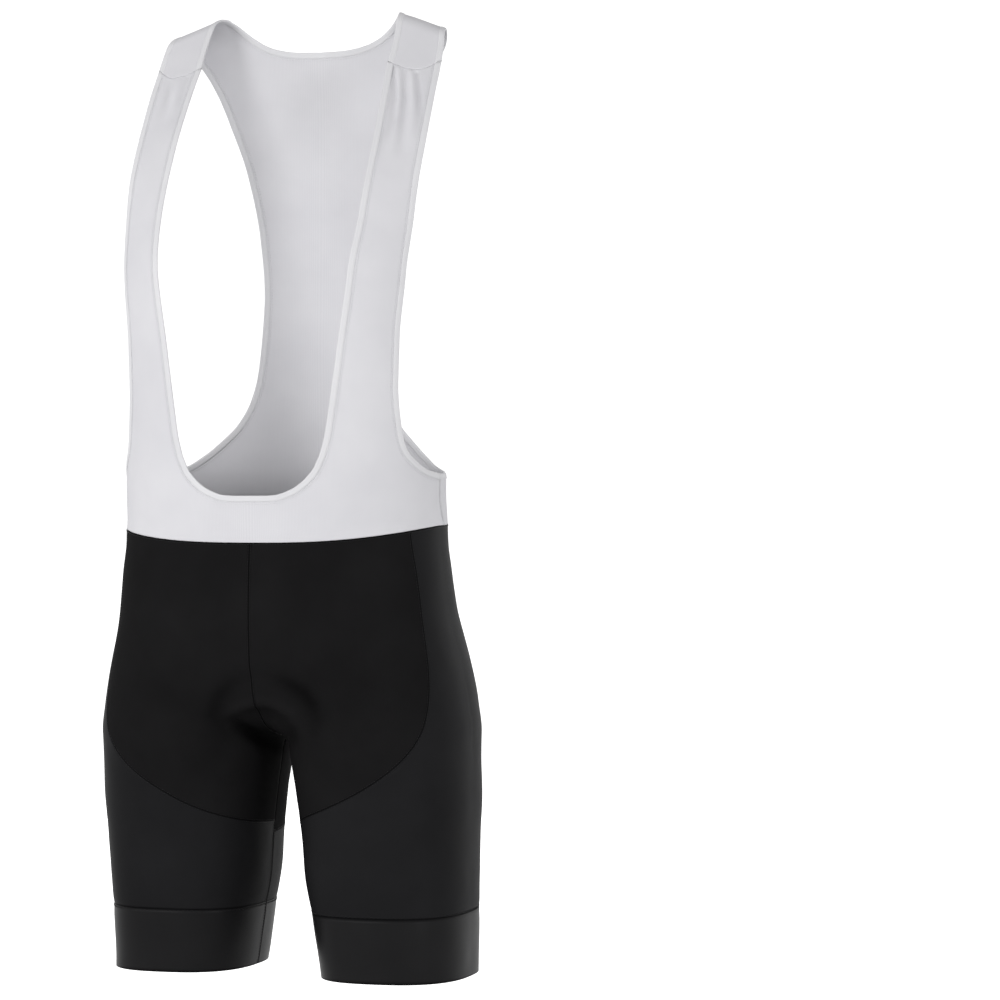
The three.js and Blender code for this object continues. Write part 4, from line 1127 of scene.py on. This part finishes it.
def stitches(name, rows, surface, material, pitch, length, radius, slant=0.0):
    """Joined stitches along lines, lying on a surface. A slant turns them across the line by turns."""
    points, faces = [], []
    for line in rows:
        spots = spaced(line, pitch)
        for k in range(len(spots) - 1):
            middle = (spots[k] + spots[k + 1]) / 2
            hit, normal, _, _ = surface.find_nearest(Vector(middle), NEAR_CLOTH)
            if hit is None:
                continue
            normal = np.array(normal)
            run = unit(spots[k + 1] - spots[k])
            run = unit(run - normal * (run @ normal))
            along = unit(run + np.cross(normal, run) * slant * (1 if k % 2 else -1))
            sideways = np.cross(normal, along)
            first = len(points)
            for share, full in STITCH_PROFILE:
                lift = radius * (0.55 if full > 0.5 else -0.3)
                centre = np.array(hit) + along * share * length + normal * lift
                for s in range(STITCH_SIDES):
                    turn = 2 * math.pi * s / STITCH_SIDES
                    offset = sideways * math.cos(turn) + normal * math.sin(turn)
                    points.append(centre + offset * radius * full)
            last = len(points) - STITCH_SIDES
            for ring in range(first, last, STITCH_SIDES):
                for s in range(STITCH_SIDES):
                    a, b = ring + s, ring + (s + 1) % STITCH_SIDES
                    faces.append((a, b, b + STITCH_SIDES, a + STITCH_SIDES))
            faces.append(tuple(first + s for s in range(STITCH_SIDES))[::-1])
            faces.append(tuple(last + s for s in range(STITCH_SIDES)))
    ob = mesh_object(name, np.array(points), faces, material)
    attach(ob, "root")


def beside(lines, surface, *offsets):
    """Lines moved sideways in the surface, each by every offset."""
    moved = []
    for line in lines:
        spots = spaced(line, BESIDE_STEP)
        sideways = []
        for point, direction in zip(spots, unit(np.gradient(spots, axis=0))):
            hit, normal, _, _ = surface.find_nearest(Vector(point), NEAR_CLOTH)
            normal = np.array(normal if hit is not None else (0, 0, 1))
            sideways.append(unit(np.cross(normal, direction)))
        moved += [spots + np.array(sideways) * offset for offset in offsets]
    return moved


def seam_line(ids):
    """The smooth line that a subdivided seam of the shorts follows, from its coarse points."""
    line = pool.points[ids]
    ends = np.vstack([2 * line[:1] - line[1:2], line, 2 * line[-1:] - line[-2:-1]])
    made = []
    for i in range(len(line) - 1):
        a, b, c, d = ends[i : i + 4]
        for t in np.arange(SEAM_STEPS) / SEAM_STEPS:
            start = (1 - t) ** 3 * a + (3 * t ** 3 - 6 * t * t + 4) * b
            made.append((start + (-3 * t ** 3 + 3 * t * t + 3 * t + 1) * c + t ** 3 * d) / 6)
    return in_frame(np.array(made + [line[-1]]))


surface = surface_of("bib_front", "bib_back")
rows = []
for inner, inward in tape_lines:
    for offset in (0.5, 2.1):
        rows.append(in_frame(inner + inward * (offset + TAPE_OVERLAP)))
stitches("bib_edge_stitching", rows, surface, WHITE_THREAD, 3.0, 2.3, 0.24)
up = slice(WAIST_SECTIONS * FINE, (WAIST_SECTIONS + SIDE_SEAM_SECTIONS) * FINE + 1)
seams = (front_ids[-1], front_right[-1], front_ids[up, -1], front_right[up, -1])
rows = beside([in_frame(pool.points[ids]) for ids in seams], surface, -1.3, 1.3)
stitches("bib_seam_stitching", rows, surface, WHITE_THREAD, 2.6, 2.4, 0.24)

surface = surface_of(*[name for name in SHEETS if not name.startswith("bib")])
to_crotch = YOKE_CELLS + TO_CROTCH_CELLS + 1
seams, band_seams, waist_lines = [], [], []
for half in halves.values():
    front, middle, back, lower, band = (ids for ids, _ in half.values())
    seams.append(np.concatenate([front[:, -1], front[-1, -2::-1]]))
    seams.append(np.concatenate([back[:, 0], back[-1, 1:]]))
    seams.append(back[YOKE_CELLS])
    seams.append(np.concatenate([lower[:, 0], band[1:, 0]]))
    band_seams.append(band[0])
    waist = np.concatenate([front[0], middle[0, 1:], back[0, 1:]])
    waist_lines.append(seam_line(waist) - (0, 0, WAIST_STITCH_DROP))
seams += [halves["left"]["front"][0][:to_crotch, 0], left_back[YOKE_CELLS:to_crotch, -1]]
rows = beside([seam_line(ids) for ids in seams], surface, -1.2, 1.2)
stitches("shorts_seam_stitching", rows, surface, BLACK_THREAD, 2.8, 2.3, 0.22)
rows = beside([seam_line(ids) for ids in band_seams], surface, 1.6)
stitches("band_stitching", rows, surface, BLACK_THREAD, 2.2, 2.9, 0.24, slant=0.8)
stitches("waist_stitching", waist_lines, surface, BLACK_THREAD, 2.8, 2.3, 0.24)


# Floor, light and camera
FLOOR_LEVEL = -1080
FLOOR_HALF = 40000
floor_finish = {
    "Base Color": (0.9, 0.9, 0.9, 1),
    "Roughness": 0.9,
    "Specular IOR Level": 0.0,
    "Emission Color": (1, 1, 1, 1),
    "Emission Strength": 1.0,
}
pale_floor = new_material("pale_floor", floor_finish)[0]
corners = [(x * FLOOR_HALF, y * FLOOR_HALF, FLOOR_LEVEL) for x, y in ((-1, -1), (1, -1), (1, 1), (-1, 1))]
floor = mesh_object("floor", corners, [(0, 1, 2, 3)], pale_floor)
floor.visible_diffuse = False
floor.visible_glossy = False

# The studio's light is fullest from the sides and fades upwards and downwards
world = bpy.data.worlds.new("studio")
bpy.context.scene.world = world
world.use_nodes = True
sky = world.node_tree
parts = node(sky, "ShaderNodeSeparateXYZ")
feed(sky, parts.inputs["Vector"], node(sky, "ShaderNodeTexCoord").outputs["Generated"])
upwards = ramp(sky, parts.outputs["Z"], 0.25, 0.85, 1.14, 0.12)
downwards = ramp(sky, parts.outputs["Z"], -0.7, -0.2, 0.12, 1.0)
background = sky.nodes["Background"].inputs
background["Color"].default_value = (1, 1, 1, 1)
feed(sky, background["Strength"], maths(sky, "MULTIPLY", upwards, downwards))


def soft_light(name, place, aim, size, power):
    data = bpy.data.lights.new(name, "AREA")
    data.shape = "DISK"
    data.size = size
    data.energy = power
    ob = bpy.data.objects.new(name, data)
    ob.location = place
    ob.rotation_euler = (Vector(aim) - Vector(place)).to_track_quat("-Z", "Y").to_euler()
    bpy.context.scene.collection.objects.link(ob)


soft_light("key", (-1.1, -3.1, 0.1), (0, 0, -0.45), 1.0, 27)
soft_light("strip_left", (-1.9, -1.6, -0.4), (0, 0, -0.6), 0.5, 5)
soft_light("strip_right", (2.8, -2.0, -0.2), (0, 0, -0.5), 0.7, 14)
soft_light("back", (-1.5, 3.0, 0.1), (0, 0, -0.45), 1.4, 20)

CAMERA_AWAY = 3.5
CAMERA_TURN = math.radians(20)
CAMERA_LEVEL = -0.49
AXIS_PX = 291.5
FRAME_PX = 1000
SENSOR = 36
camera_data = bpy.data.cameras.new("camera")
camera_data.sensor_width = SENSOR
camera_data.lens = SENSOR * CAMERA_AWAY * 1000 / FRAME_PX
camera = bpy.data.objects.new("camera", camera_data)
camera.location = (
    CAMERA_AWAY * math.sin(CAMERA_TURN),
    -CAMERA_AWAY * math.cos(CAMERA_TURN) - RIDGE_BACK * MM,
    CAMERA_LEVEL,
)
aside = math.atan((FRAME_PX / 2 - AXIS_PX) / (CAMERA_AWAY * 1000))
camera.rotation_euler = (math.pi / 2, 0, CAMERA_TURN - aside)
bpy.context.scene.collection.objects.link(camera)
bpy.context.scene.camera = camera
bpy.context.scene.view_settings.view_transform = "Standard"
